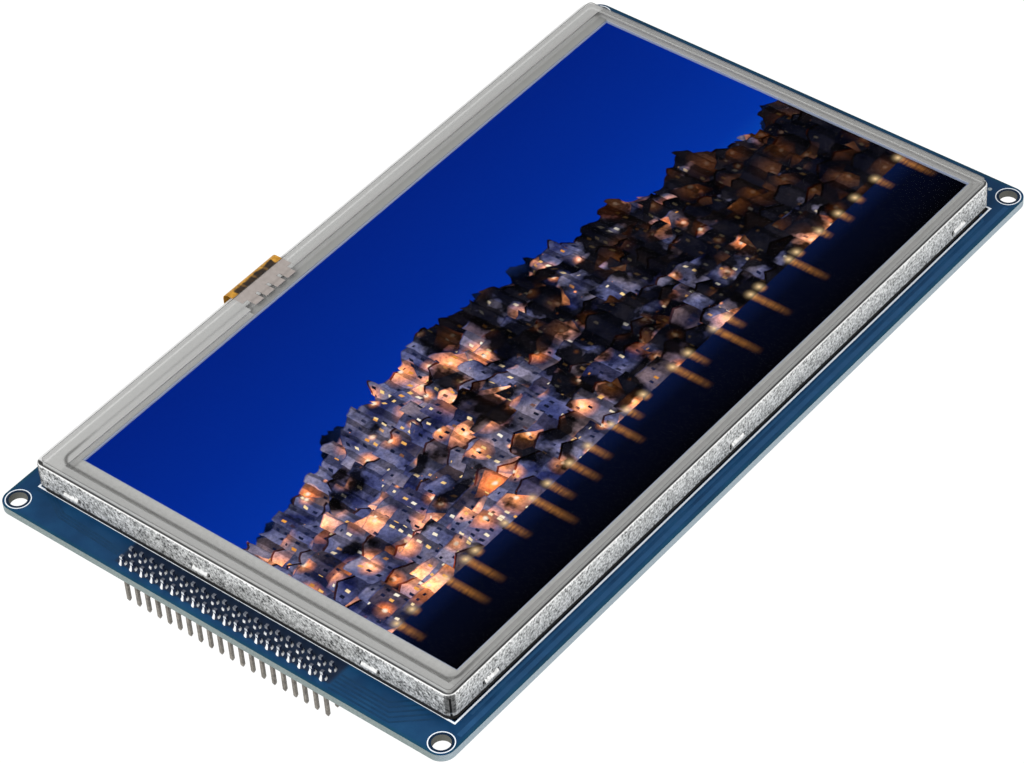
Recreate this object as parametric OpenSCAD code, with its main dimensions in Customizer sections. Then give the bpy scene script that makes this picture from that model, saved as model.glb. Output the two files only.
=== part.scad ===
// Seven-inch colour display module: a touch panel on a steel-framed liquid crystal panel,
// carried by a driver board with a two-row pin header.
// Millimetres, +X along the long side, +Z out of the screen.
// The origin is the centre of the four corner holes, on the underside of the board.

/* [Board] */
// Length of the board along X
board_l = 181; // [178:0.5:200]
// Width of the board along Y
board_w = 108; // [106:0.5:120]
// Thickness of the board
board_t = 1.6; // [1:0.1:2.4]
// Radius of the board's corners
board_corner_r = 3; // [1:0.1:5]
// Distance of each corner hole's centre from both edges
hole_inset = 3; // [2.5:0.1:5]
// Diameter of the corner holes
hole_d = 3.6; // [2.5:0.1:4.4]

/* [Header] */
// Number of pins in each of the two rows
header_pins = 20; // [10:1:30]
// Pin pitch
pin_pitch = 2.54; // [2:0.01:3]
// Side of the square pins
pin_side = 0.64; // [0.4:0.01:0.7]
// Height of the pin tips above the top of the board
pin_rise = 1.95; // [1.2:0.05:3]
// Depth of the pin points below the underside of the board
pin_drop = 8.2; // [5:0.1:12]
// Length of the taper at each pin's point
pin_point = 0.5; // [0.3:0.1:1]
// Diameter of the plated holes for the pins
pin_hole_d = 1.05; // [1:0.01:1.2]
// Height of the moulded header base
header_base_h = 1.5; // [1.2:0.1:2.6]
// Distance of the outer pin row from the short edge of the board
header_edge = 2.3; // [1.5:0.1:4]
// Shift of the header along Y
header_shift = -0.4; // [-5:0.1:5]
// Radius of a solder joint at the board
solder_r = 0.9; // [0.7:0.05:1.1]
// Height of a solder joint
solder_h = 1.1; // [0.6:0.1:1.2]
// Clearance between the solder joints and the panel
header_clear = 1.51; // [1.2:0.01:6]

/* [Panel] */
// Length of the steel-framed panel
panel_l = 165.9; // [150:0.1:170]
// Width of the panel
panel_w = 100; // [90:0.1:102]
// Thickness of the panel
panel_h = 5.5; // [5:0.1:8]
// Thickness of the foam tape between board and panel
panel_lift = 1.4; // [1.2:0.1:3]
// Width of the foam tape
foam_w = 6; // [3:0.5:8]
// Distance of the foam tape from the panel's edge
foam_inset = 0.4; // [0.3:0.1:3]
// Sheet thickness of the bezel
bezel_t = 0.3; // [0.2:0.05:0.5]
// Outer radius of the bezel's upright corners
bezel_corner_r = 1.8; // [1:0.1:2.5]
// Width of the open seam in each upright corner
corner_gap = 0.4; // [0.2:0.05:0.8]
// Outer radius of the bend along the bezel's top edge
bend_r = 0.5; // [0.3:0.05:0.8]
// Border from the panel's -X edge to the window
border_left = 5.85; // [4:0.05:8]
// Border from the panel's +X edge to the window
border_right = 3.2; // [3:0.05:8]
// Border from the panel's -Y edge to the window
border_near = 3.25; // [3.2:0.05:8]
// Border from the panel's +Y edge to the window
border_far = 7.65; // [7.5:0.05:12]

/* [Bezel clips] */
// Length of a lanced clip
clip_l = 3.6; // [3:0.1:8]
// Width of the cut at each end of a clip
clip_end = 0.5; // [0.3:0.05:0.8]
// Height of the slit under a clip
clip_slit = 0.5; // [0.3:0.05:0.8]
// How far a clip's lip stands out of the wall
clip_lip = 0.4; // [0.1:0.05:0.5]
// Height of a clip's lip
clip_h = 0.8; // [0.5:0.1:1.2]
// Height of the slits above the panel's foot
clip_z = 0.7; // [0.6:0.1:2.5]
// Spacing of the clips along the long walls
clip_pitch = 72; // [40:1:74]
// Places of the clips along the short walls, measured from the panel's +Y edge
clip_places = [81.4, 41.3, 9.2];

/* [Liquid crystal cell] */
// Thickness of each sheet of glass
glass_t = 0.5; // [0.3:0.05:0.6]
// Thickness of each polariser
polariser_t = 0.2; // [0.1:0.05:0.25]
// How far the glass reaches beyond the window
glass_margin = 1.5; // [1.2:0.1:1.7]
// Width of the ledge of the lower glass, for driver chips and ribbon
ledge = 4.4; // [4:0.1:4.6]
// Clearance between the cell and the sheets next to it
cell_gap = 0.05; // [0.02:0.01:0.1]
// Number of driver chips on the ledge
driver_count = 3; // [2:1:5]
// Length of a driver chip
driver_l = 21; // [10:0.5:24]
// Width of a driver chip
driver_w = 1.2; // [0.8:0.1:1.6]
// Thickness of a driver chip
driver_t = 0.3; // [0.2:0.05:0.4]

/* [Backlight] */
// Thickness of the diffuser and prism films
film_t = 0.4; // [0.2:0.05:0.6]
// Thickness of the reflector sheet
reflector_t = 0.2; // [0.1:0.05:0.3]
// Sheet thickness of the rear pan
pan_t = 0.3; // [0.2:0.05:0.5]
// How far the light guide reaches beyond the window
guide_margin = 0.6; // [0.4:0.1:0.8]
// Clearance of the moulded frame from its neighbours
fit_gap = 0.15; // [0.1:0.01:0.2]
// Number of LEDs along the near side
led_count = 27; // [12:1:36]
// Length of an LED
led_l = 3; // [2:0.1:3.5]
// Depth of an LED
led_d = 0.8; // [0.6:0.05:0.9]
// Height of an LED
led_h = 0.8; // [0.6:0.05:1]
// Thickness of the LEDs' flexible strip
strip_t = 0.15; // [0.1:0.05:0.2]

/* [Touch panel] */
// Inset of the touch panel from the panel's -X edge
touch_left = 0.2; // [0:0.05:2]
// Inset of the touch panel from the panel's +X edge
touch_right = 1.3; // [0:0.05:2]
// Inset of the touch panel from the panel's -Y edge
touch_near = 0.2; // [0:0.05:2]
// Inset of the touch panel from the panel's +Y edge
touch_far = 1.95; // [0:0.05:3]
// Radius of the touch panel's corners
touch_corner_r = 0.9; // [0.5:0.1:2]
// Thickness of the tape that holds the touch panel
touch_tape_t = 0.25; // [0.1:0.05:0.5]
// Inset of that tape from the touch panel's edge
touch_tape_inset = 0.5; // [0.3:0.1:1]
// Clearance of that tape from the window
touch_tape_gap = 0.3; // [0.1:0.1:0.8]
// Thickness of the touch glass
touch_glass_t = 1; // [0.7:0.1:2]
// Thickness of the seal between glass and film
seal_t = 0.1; // [0.05:0.01:0.2]
// Thickness of the touch film
touch_film_t = 0.2; // [0.1:0.05:0.4]
// Width of the seal along the -X side
seal_left = 1.6; // [1:0.1:5]
// Width of the seal along the +X side
seal_right = 1.5; // [1:0.1:2]
// Width of the seal along the -Y side
seal_near = 1.3; // [1:0.1:2.4]
// Width of the seal along the +Y side
seal_far = 3.3; // [2.5:0.1:5]

/* [Ribbons] */
// Width of the touch ribbon
tail_w = 14.2; // [8:0.1:20]
// Place of the touch ribbon along X
tail_x = -22; // [-50:0.5:-10]
// How far the touch ribbon reaches under the film
tail_tongue = 4.6; // [3:0.1:5]
// Number of fingers at the end of the tongue
finger_count = 4; // [2:1:4]
// Pitch of the fingers
finger_pitch = 3.1; // [2.5:0.1:3.3]
// Width of a finger
finger_w = 2.3; // [1.5:0.1:2.4]
// Length of the fingers
finger_l = 2.3; // [1:0.1:2.5]
// How far the touch ribbon stands out beyond the touch panel
tail_reach = 2.8; // [2.4:0.1:3.5]
// Radius of the touch ribbon's bends
tail_bend_r = 1.3; // [0.8:0.1:1.5]
// Width of the panel ribbon
ribbon_w = 25.5; // [20:0.5:32]
// Place of the panel ribbon along X
ribbon_x = 24; // [10:0.5:40]
// Thickness of the panel ribbon
ribbon_t = 0.12; // [0.08:0.01:0.15]
// Length of the panel ribbon's bond on the ledge
ribbon_bond = 1.4; // [0.8:0.1:1.6]
// Radius of the panel ribbon's bends
ribbon_bend_r = 0.42; // [0.35:0.01:0.45]
// Distance of the board's ribbon slot from the panel's +Y edge
slot_back = 14; // [12:0.5:30]
// Width of the board's ribbon slot
slot_w = 3.2; // [2.4:0.1:5]
// Clearance round a ribbon where it passes an edge
ribbon_gap = 0.8; // [0.5:0.1:1.5]

/* [Ribbon connectors] */
// Depth of a connector's body
socket_d = 5.2; // [4.5:0.1:7]
// Height of a connector's body
socket_h = 2; // [1.8:0.1:3]
// Length of each end of a connector's body beyond its ribbon
socket_end = 2.2; // [1.6:0.1:4]
// Thickness of the back wall behind a ribbon's end
socket_back = 1.4; // [1:0.1:2]
// Height of the slot floor above the board
socket_floor = 0.5; // [0.4:0.05:0.6]
// Thickness of a contact
contact_t = 0.12; // [0.08:0.01:0.15]
// Length of a contact's solder tail
contact_tail = 0.8; // [0.5:0.1:1.2]
// Pitch of the panel connector's contacts
fine_pitch = 0.5; // [0.5:0.1:0.8]
// Pitch of the touch connector's contacts
coarse_pitch = 1; // [1:0.1:1.5]
// Number of the touch connector's contacts
touch_ways = 4; // [4:1:8]
// Clearance of a sliding lock from ribbon and body
lock_gap = 0.15; // [0.1:0.01:0.2]
// Depth of a sliding lock's bar
lock_bar = 1.1; // [0.8:0.1:1.6]
// Length of a sliding lock's tongue inside its body
lock_tongue = 2; // [1.4:0.1:2.4]
// Width of a sliding lock's side arms
lock_arm = 0.5; // [0.4:0.05:0.8]

/* [Controller] */
// Length of the display controller's body
controller_l = 20; // [14:0.5:24]
// Width of the display controller's body
controller_w = 14; // [10:0.5:20]
// Height of the display controller's body
controller_h = 1.4; // [1:0.1:1.8]
// Number of leads along each long side
controller_long = 38; // [20:1:38]
// Number of leads along each short side
controller_short = 26; // [12:1:26]
// Lead pitch
controller_pitch = 0.5; // [0.4:0.05:0.5]

/* [Small chips] */
// Clearance of a chip's body above the board
chip_stand = 0.1; // [0.05:0.05:0.2]
// Chamfer of a chip's upright edges
chip_chamfer = 0.3; // [0.1:0.05:0.5]
// Diameter of the dimple in a chip's face
dimple_d = 0.7; // [0.4:0.1:0.9]
// Depth of the dimple
dimple_deep = 0.1; // [0.05:0.05:0.2]
// Thickness of a bent lead
lead_t = 0.15; // [0.1:0.01:0.2]
// How far a lead reaches from the body
lead_reach = 1.1; // [0.8:0.1:1.4]
// Length of the touch controller's body
touch_chip_l = 5; // [4:0.1:6]
// Width of the touch controller's body
touch_chip_w = 4.4; // [3:0.1:6]
// Height of the touch controller's body
touch_chip_h = 1; // [0.8:0.1:1.4]
// Leads on each side of the touch controller
touch_chip_ways = 8; // [4:1:8]
// Lead pitch of the touch controller
touch_chip_pitch = 0.65; // [0.5:0.05:0.65]
// Place of the touch controller along Y
touch_chip_y = 26; // [20:0.5:28]
// Side of the flash memory's body
flash_side = 5.3; // [4:0.1:6]
// Height of the flash memory's body
flash_h = 1.7; // [1.2:0.1:2]
// Leads on each side of the flash memory
flash_ways = 4; // [2:1:4]
// Lead pitch of the flash memory
flash_pitch = 1.27; // [1:0.01:1.3]
// Length of the regulator's body
regulator_l = 6.5; // [5:0.1:7]
// Width of the regulator's body
regulator_w = 3.5; // [3:0.1:4]
// Height of the regulator's body
regulator_h = 1.6; // [1.2:0.1:2]
// Lead pitch of the regulator
regulator_pitch = 2.3; // [1.5:0.1:2.3]
// Lead width of the regulator
regulator_lead = 0.72; // [0.5:0.01:0.9]
// Tab width of the regulator
regulator_tab = 2.925; // [2:0.005:3.5]
// Length of the backlight driver's body
boost_l = 2.9; // [2.5:0.1:3.2]
// Width of the backlight driver's body
boost_w = 1.6; // [1.4:0.1:2]
// Height of the backlight driver's body
boost_h = 1; // [0.8:0.1:1.2]
// Leads on each side of the backlight driver
boost_ways = 3; // [2:1:3]
// Lead pitch of the backlight driver
boost_pitch = 0.95; // [0.8:0.05:1]
// Side of the power inductor
inductor_side = 7.3; // [6.6:0.1:8]
// Height of the power inductor
inductor_h = 3.2; // [2:0.1:4]
// Depth of the ring groove in the inductor's face
groove_deep = 0.48; // [0.2:0.01:0.8]
// Outer diameter of the ring groove
groove_d = 5.84; // [5.2:0.01:6.4]
// Diameter of the core inside the ring groove
core_d = 4.745; // [3:0.005:5]
// Length of the diode's body
diode_l = 4.3; // [3:0.1:5]
// Width of the diode's body
diode_w = 2.6; // [2:0.1:3]
// Height of the diode's body
diode_h = 2.2; // [1.5:0.1:2.5]
// Width of the diode's leads
diode_lead = 1.56; // [1:0.01:2]
// Length of the crystal's package
crystal_l = 5; // [3:0.1:6]
// Width of the crystal's package
crystal_w = 3.2; // [2:0.1:4]
// Height of the crystal's ceramic base
crystal_base_h = 0.6; // [0.4:0.1:0.8]
// Height of the crystal's metal can
crystal_can_h = 0.6; // [0.4:0.1:0.8]
// Rim of the base round the can
crystal_rim = 0.32; // [0.2:0.01:0.5]

/* [Chip capacitors and resistors] */
// Length of a chip capacitor
capacitor_l = 2; // [1.4:0.1:2.2]
// Width of a chip capacitor
capacitor_w = 1.25; // [0.8:0.05:1.4]
// Height of a chip capacitor
capacitor_h = 0.9; // [0.5:0.05:1.2]
// Length of a chip resistor
resistor_l = 1.6; // [1.2:0.1:1.8]
// Width of a chip resistor
resistor_w = 0.8; // [0.5:0.05:1]
// Height of a chip resistor
resistor_h = 0.5; // [0.3:0.05:0.6]
// Length of a metal end
end_l = 0.35; // [0.2:0.05:0.4]
// How far a metal end stands proud of the body
end_t = 0.03; // [0.02:0.01:0.05]
// Pitch of the capacitors along the controller
bypass_pitch = 8; // [5:0.5:10]
// Distance of those capacitors from the controller's middle
bypass_off = 13; // [11:0.5:16]
// Distance of the capacitors from the regulator along X
feed_off_x = 6; // [5:0.5:8]
// Distance of the capacitors from the regulator along Y
feed_off_y = 8; // [6:0.5:10]
// Distance of the input capacitors from the backlight driver
boost_off = 6; // [5:0.5:7]
// Shift of the upper capacitors beside the backlight driver
boost_shift = 2; // [1:0.5:3]
// Distance of the output capacitor from the backlight driver
boost_top = 8; // [6:0.5:9]
// Pitch of the capacitors beside the touch controller
touch_cap_pitch = 4; // [3:0.5:5]
// Distance of those capacitors from the touch controller's middle
touch_cap_off = 6; // [5:0.5:8]
// Pitch of the resistor rows
resistor_pitch = 3; // [2.5:0.1:4]
// Resistors in the row behind the header
series_count = 8; // [4:1:8]
// Distance of that row's start from the outer pin row
series_in = 18.2; // [12:0.1:20]
// Distance of the flash memory's resistors along X
flash_row_x = 4; // [2:0.5:6]
// Distance of the flash memory's resistors along Y
flash_row_y = 10; // [7:0.5:12]
// Distance of the backlight driver's resistors along X
boost_row_x = 4; // [2:0.5:6]
// Distance of the backlight driver's resistors along Y
boost_row_y = 14; // [12:0.5:16]
// Distance of the crystal's resistors along X
load_off_x = 5; // [4:0.5:7]
// Distance of the crystal's resistors along Y
load_off_y = 4; // [3:0.5:5]

/* [Card socket] */
// Length of the card socket
card_l = 27; // [24:0.5:32]
// Width of the card socket
card_w = 28; // [27:0.5:32]
// Height of the card socket
card_h = 2.8; // [2.6:0.1:3.6]
// Sheet thickness of the card socket's shell
card_shell_t = 0.2; // [0.15:0.05:0.3]
// Thickness of the card socket's moulded floor
card_floor = 0.6; // [0.4:0.1:0.8]
// Width of the card socket's side rails
card_rail = 1.4; // [0.8:0.1:1.6]
// Place of the card socket along Y
card_y = -20; // [-30:0.5:-10]

/* [Hidden] */
$fn = 48;
// Overlap of cutting solids beyond the faces they cut
cut = 1;
// Steps of the rounded bend along the bezel's top edge
bend_steps = 4;
// Points on each bend of a ribbon
bend_points = 8;

// Levels of the stack, from the board up
z_panel = board_t + panel_lift;
z_bezel = z_panel + panel_h;
z_pan = z_panel + pan_t;
z_cell = z_bezel - bezel_t - cell_gap;
z_filter = z_cell - polariser_t - glass_t;
z_thin = z_filter - glass_t;
z_rear = z_thin - polariser_t;
z_films = z_rear - cell_gap - film_t;
z_guide = z_pan + reflector_t;
z_glass = z_bezel + touch_tape_t;
z_seal = z_glass + touch_glass_t;
z_film = z_seal + seal_t;

// Places along X: the header keeps to its edge of the board, and the panel to the header
header_x = -board_l / 2 + header_edge;
panel_x = header_x + pin_pitch + solder_r + header_clear + panel_l / 2;
tail_at = panel_x + tail_x;
ribbon_at = panel_x + ribbon_x;

// Plan outlines as [low x, low y, high x, high y]
panel_box = [panel_x - panel_l / 2, -panel_w / 2, panel_x + panel_l / 2, panel_w / 2];
window_box = inner_box(panel_box, border_left, border_near, border_right, border_far);
filter_box = grown_box(window_box, glass_margin);
thin_box = inner_box(filter_box, 0, 0, 0, -ledge);
guide_box = grown_box(window_box, guide_margin);
touch_box = inner_box(panel_box, touch_left, touch_near, touch_right, touch_far);
inside_box = grown_box(panel_box, -bezel_t - fit_gap);
led_depth = led_d + 2 * fit_gap;

// Lines that the two ribbons follow in the YZ plane
plug_z = -(socket_floor + contact_t + ribbon_t / 2);
tail_plug_z = -(socket_floor + contact_t + seal_t / 2);
tail_y = touch_box[3] + tail_reach;
touch_socket_y = tail_y - 2 * tail_bend_r - lock_bar - 2 * lock_gap - socket_d / 2 - 2;
drop_y = thin_box[3] + (inside_box[3] - thin_box[3]) / 2;
under_z = z_panel - panel_lift / 2;
slot_y = panel_box[3] - slot_back;
lcd_socket_y = slot_y - 2 * ribbon_bend_r - lock_bar - 2 * lock_gap - socket_d / 2 - 1.5;
lcd_ways = floor((ribbon_w - fine_pitch) / fine_pitch);

// Header
header_y = header_shift + (header_pins - 1) * pin_pitch / 2;
pin_places = [for (row = [0, 1]) for (i = [0 : header_pins - 1])
    [header_x + row * pin_pitch, header_y - i * pin_pitch]];

// Share of a lead pitch that the lead fills
lead_share = 0.45;

// Places of the small parts under the board
controller_place = [-14, -12];
touch_chip_place = [tail_at, touch_chip_y];
flash_place = [-50, -14];
regulator_place = [-64, 20];
boost_place = [62, 26];
inductor_place = [70, 18];
diode_place = [72, 30];
crystal_place = [6, -30];

// Small chips: body length, width and height, lead count per side, pitch, place and turn
touch_chip = [touch_chip_l, touch_chip_w, touch_chip_h, touch_chip_ways, touch_chip_pitch, touch_chip_place, 0];
flash_chip = [flash_side, flash_side, flash_h, flash_ways, flash_pitch, flash_place, 90];
regulator_chip = [regulator_l, regulator_w, regulator_h, 3, regulator_pitch, regulator_place, 90];
boost_chip = [boost_l, boost_w, boost_h, boost_ways, boost_pitch, boost_place, 0];
diode_size = [diode_l, diode_w, diode_h];
crystal_size = [crystal_l, crystal_w, crystal_base_h + crystal_can_h];

// Sizes and places of chip capacitors and resistors, each place as [x, y, turn]
capacitor_size = [capacitor_l, capacitor_w, capacitor_h];
resistor_size = [resistor_l, resistor_w, resistor_h];
capacitor_places = concat(
    [for (side = [1, -1]) for (i = [-1.5 : 1.5]) at(controller_place, i * bypass_pitch, side * bypass_off, 0)],
    [for (sx = [0, 1]) for (sy = [-1, 1]) at(regulator_place, sx * feed_off_x, sy * feed_off_y, 0)],
    [at(boost_place, -boost_off, -boost_off, 90), at(boost_place, -boost_off, boost_shift, 90)],
    [at(boost_place, boost_shift, boost_top, 0)],
    [for (i = [-2 : 0]) at(touch_chip_place, i * touch_cap_pitch, -touch_cap_off, 90)]
);
resistor_places = concat(
    [for (i = [0 : series_count - 1]) [header_x + series_in + i * resistor_pitch, 0, 90]],
    [for (i = [0 : 3]) at(flash_place, flash_row_x + i * resistor_pitch, flash_row_y, 90)],
    [for (i = [0 : 2]) at(boost_place, -boost_row_x + i * resistor_pitch, -boost_row_y, 90)],
    [for (side = [-1, 1]) at(crystal_place, side * load_off_x, -load_off_y, 90)]
);

function at(place, dx, dy, turn) = [place[0] + dx, place[1] + dy, turn];

function inner_box(b, left, near, right, far) = [b[0] + left, b[1] + near, b[2] - right, b[3] - far];
function grown_box(b, d) = inner_box(b, -d, -d, -d, -d);
function unit(v) = v / norm(v);
function turned(v) = [-v[1], v[0]];
function heading(v) = atan2(v[1], v[0]);

// Shortest turn from one heading to another
function turn_between(a, b) = let (d = b - a) d > 180 ? d - 360 : d < -180 ? d + 360 : d;

// Points of the arc that rounds the corner b between a and c
function corner_arc(a, b, c, r) = let (
    u = unit(a - b),
    v = unit(c - b),
    half = acos(u * v) / 2,
    centre = b + unit(u + v) * r / sin(half),
    start = heading(b + u * r / tan(half) - centre),
    sweep = turn_between(start, heading(b + v * r / tan(half) - centre))
) [for (i = [0 : bend_points]) let (angle = start + sweep * i / bend_points)
    centre + r * [cos(angle), sin(angle)]];

// A line of straight runs with its inner corners rounded
function rounded_line(points, r) = [
    points[0],
    for (i = [1 : len(points) - 2]) each corner_arc(points[i - 1], points[i], points[i + 1], r),
    points[len(points) - 1]
];

// The line moved sideways by d
function beside(line, d) = [for (i = [0 : len(line) - 1]) let (
    before = line[max(i - 1, 0)],
    after = line[min(i + 1, len(line) - 1)]
) line[i] + d * turned(unit(after - before))];

// Side view of one bent lead, from the body out to its foot
function lead_profile(reach, rise, t) = [
    [0, rise], [reach * 0.35, rise], [reach * 0.6, t], [reach, t],
    [reach, 0], [reach * 0.5, 0], [reach * 0.25, rise - t], [0, rise - t]
];

module rounded_outline(b, r) {
    l = b[2] - b[0];
    w = b[3] - b[1];
    translate([(b[0] + b[2]) / 2, (b[1] + b[3]) / 2]) {
        square([l - 2 * r, w], center = true);
        square([l, w - 2 * r], center = true);
        for (sx = [-1, 1], sy = [-1, 1])
            translate([sx * (l / 2 - r), sy * (w / 2 - r)]) circle(r);
    }
}

module slab(b, z, t, r = 0) {
    translate([0, 0, z]) linear_extrude(t) {
        if (r > 0) rounded_outline(b, r);
        else translate([b[0], b[1]]) square([b[2] - b[0], b[3] - b[1]]);
    }
}

module frame_slab(outer, inner, z, t, r) {
    difference() {
        slab(outer, z, t, r);
        slab(inner, z - cut, t + 2 * cut);
    }
}

// A flat ribbon of width w that follows a line in the YZ plane
module ribbon(points, r, t, w, x) {
    line = rounded_line(points, r);
    back = beside(line, -t / 2);
    translate([x, 0, 0]) rotate([90, 0, 90])
        linear_extrude(w, center = true)
            polygon(concat(beside(line, t / 2), [for (i = [len(back) - 1 : -1 : 0]) back[i]]));
}

// Places children on the underside of the board, facing down
module underside(place, turn = 0) {
    translate([place[0], place[1], 0]) rotate(turn) mirror([0, 0, 1]) children();
}

module chip_shell(l, w, h) {
    translate([0, 0, chip_stand]) difference() {
        linear_extrude(h) polygon([
            [-l / 2 + chip_chamfer, -w / 2], [l / 2 - chip_chamfer, -w / 2],
            [l / 2, -w / 2 + chip_chamfer], [l / 2, w / 2 - chip_chamfer],
            [l / 2 - chip_chamfer, w / 2], [-l / 2 + chip_chamfer, w / 2],
            [-l / 2, w / 2 - chip_chamfer], [-l / 2, -w / 2 + chip_chamfer]
        ]);
        translate([-l / 2 + 2 * dimple_d, -w / 2 + dimple_d, h - dimple_deep])
            cylinder(d = min(dimple_d, w / 3), h = cut);
    }
}

module lead_row(count, pitch, edge, rise, lead_w) {
    for (i = [0 : count - 1])
        translate([(i - (count - 1) / 2) * pitch, edge, 0]) rotate([90, 0, 90])
            linear_extrude(lead_w, center = true) polygon(lead_profile(lead_reach, rise, lead_t));
}

module two_lead_rows(chip) {
    for (side = [0, 180])
        rotate(side) lead_row(chip[3], chip[4], chip[1] / 2, chip_stand + chip[2] / 2, chip[4] * lead_share);
}

module end_cap(size) {
    for (side = [-1, 1])
        translate([side * (size[0] - end_l) / 2, 0, size[2] / 2])
            cube([end_l, size[1], size[2]], center = true);
}

module board() {
    color("#1f4671") difference() {
        slab([-board_l / 2, -board_w / 2, board_l / 2, board_w / 2], 0, board_t, board_corner_r);
        for (sx = [-1, 1], sy = [-1, 1])
            translate([sx * (board_l / 2 - hole_inset), sy * (board_w / 2 - hole_inset), -cut])
                cylinder(d = hole_d, h = board_t + 2 * cut);
        for (place = pin_places)
            translate([place[0], place[1], -cut]) cylinder(d = pin_hole_d, h = board_t + 2 * cut);
        translate([ribbon_at - ribbon_w / 2 - ribbon_gap, slot_y - slot_w / 2, -cut])
            cube([ribbon_w + 2 * ribbon_gap, slot_w, board_t + 2 * cut]);
        translate([tail_at - tail_w / 2 - ribbon_gap, tail_y - ribbon_gap, -cut])
            cube([tail_w + 2 * ribbon_gap, board_w, board_t + 2 * cut]);
    }
}

module panel_tape() {
    strip_box = grown_box(panel_box, -foam_inset);
    color("#1c1c1e") difference() {
        frame_slab(strip_box, grown_box(strip_box, -foam_w), board_t, panel_lift, bezel_corner_r);
        translate([ribbon_at - ribbon_w / 2 - ribbon_gap, slot_y, board_t - cut])
            cube([ribbon_w + 2 * ribbon_gap, board_w, panel_lift + 2 * cut]);
    }
}

// One clip lanced from the sheet of the wall at y = 0 that faces -Y
module clip_lip_wedge() {
    translate([0, 0, clip_z + clip_slit]) rotate([90, 0, 90]) linear_extrude(clip_l, center = true)
        polygon([[bezel_t / 2, 0], [-clip_lip, 0], [-clip_lip, clip_h / 3], [0, clip_h], [bezel_t / 2, clip_h]]);
}

module on_walls() {
    for (side = [-1, 1]) {
        for (i = [-1 : 1])
            translate([panel_x + i * clip_pitch, side * panel_w / 2, z_panel])
                rotate(side < 0 ? 0 : 180) children();
        for (back = clip_places)
            translate([panel_x + side * panel_l / 2, panel_w / 2 - back, z_panel])
                rotate(side < 0 ? -90 : 90) children();
    }
}

module lcd_bezel() {
    color("#b4b6b6") {
        difference() {
            hull() {
                slab(panel_box, z_panel, panel_h - bend_r, bezel_corner_r, $fn = 32);
                for (i = [1 : bend_steps]) {
                    angle = 90 * i / bend_steps;
                    inset = bend_r * (1 - cos(angle));
                    rise = bend_r * sin(angle);
                    slab(grown_box(panel_box, -inset), z_panel, panel_h - bend_r + rise,
                        bezel_corner_r - inset, $fn = 32);
                }
            }
            slab(grown_box(panel_box, -bezel_t), z_panel - cut, panel_h - bezel_t + cut,
                bezel_corner_r - bezel_t);
            slab(window_box, z_panel, panel_h + cut);
            on_walls() translate([-clip_l / 2, -bezel_t, clip_z]) cube([clip_l, 3 * bezel_t, clip_slit]);
            on_walls() for (side = [-1, 1])
                translate([side * (clip_l + clip_end) / 2 - clip_end / 2, -bezel_t, clip_z])
                    cube([clip_end, 3 * bezel_t, clip_slit + clip_h]);
            for (sx = [-1, 1], sy = [-1, 1])
                translate([panel_x + sx * (panel_l / 2 - bezel_corner_r), sy * (panel_w / 2 - bezel_corner_r),
                    z_panel - cut]) rotate(atan2(sy, sx)) translate([0, -corner_gap / 2, 0])
                        cube([2 * bezel_corner_r, corner_gap, panel_h - 2 * bend_r + cut]);
        }
        on_walls() clip_lip_wedge();
    }
}

module front_polariser() {
    color("#14161c") slab(grown_box(filter_box, -fit_gap), z_cell - polariser_t, polariser_t);
}

module colour_filter_glass() {
    color("#5a6068") slab(filter_box, z_filter, glass_t);
}

module thin_film_glass() {
    color("#646a70") slab(thin_box, z_thin, glass_t);
}

module rear_polariser() {
    color("#2a2c30") slab(guide_box, z_rear, polariser_t);
}

module driver_chips() {
    chip_pitch = (thin_box[2] - thin_box[0]) / driver_count;
    color("#303236") for (i = [0 : driver_count - 1])
        translate([thin_box[0] + (i + 0.5) * chip_pitch - driver_l / 2, filter_box[3] + driver_w / 2, z_filter])
            cube([driver_l, driver_w, driver_t]);
}

module lcd_ribbon() {
    bond_z = z_filter + ribbon_t / 2;
    color("#b8862c") ribbon([
        [thin_box[3] - ribbon_bond, bond_z], [drop_y, bond_z], [drop_y, under_z], [slot_y, under_z],
        [slot_y, plug_z], [lcd_socket_y - socket_d / 2 + socket_back, plug_z]
    ], ribbon_bend_r, ribbon_t, ribbon_w, ribbon_at);
}

module film_stack() {
    color("#e8e8e4") slab(guide_box, z_films, film_t);
}

module light_guide() {
    color("#dfe6e8") slab(guide_box, z_guide, z_films - z_guide);
}

module reflector() {
    color("#f4f4f2") slab(guide_box, z_pan, reflector_t);
}

module led_strip() {
    strip_box = [guide_box[0], guide_box[1] - led_depth, guide_box[2], guide_box[1]];
    color("#d8b060") slab(strip_box, z_pan, strip_t);
}

module leds() {
    led_pitch = (guide_box[2] - guide_box[0]) / led_count;
    color("#f2e8b0") for (i = [0 : led_count - 1])
        translate([guide_box[0] + (i + 0.5) * led_pitch - led_l / 2, guide_box[1] - fit_gap - led_d,
            z_pan + strip_t]) cube([led_l, led_d, led_h]);
}

module light_frame() {
    guide_pocket = inner_box(grown_box(guide_box, fit_gap), 0, -led_depth, 0, 0);
    glass_pocket = grown_box(thin_box, fit_gap);
    color("#1d1e20") difference() {
        slab(inside_box, z_pan, z_cell - z_pan, bezel_corner_r - bezel_t);
        slab(guide_pocket, z_pan - cut, z_cell);
        slab(glass_pocket, z_thin, z_cell);
        translate([ribbon_at - ribbon_w / 2 - ribbon_gap, drop_y - ribbon_gap, z_pan - cut])
            cube([ribbon_w + 2 * ribbon_gap, panel_w, z_cell]);
    }
}

module rear_pan() {
    color("#a9abac") difference() {
        slab(inside_box, z_panel, pan_t, bezel_corner_r - bezel_t);
        translate([ribbon_at - ribbon_w / 2 - ribbon_gap, drop_y - ribbon_gap, z_panel - cut])
            cube([ribbon_w + 2 * ribbon_gap, panel_w, panel_h]);
    }
}

module touch_tape() {
    color("#26272a") frame_slab(grown_box(touch_box, -touch_tape_inset),
        grown_box(window_box, touch_tape_gap), z_bezel, touch_tape_t, touch_corner_r);
}

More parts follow.
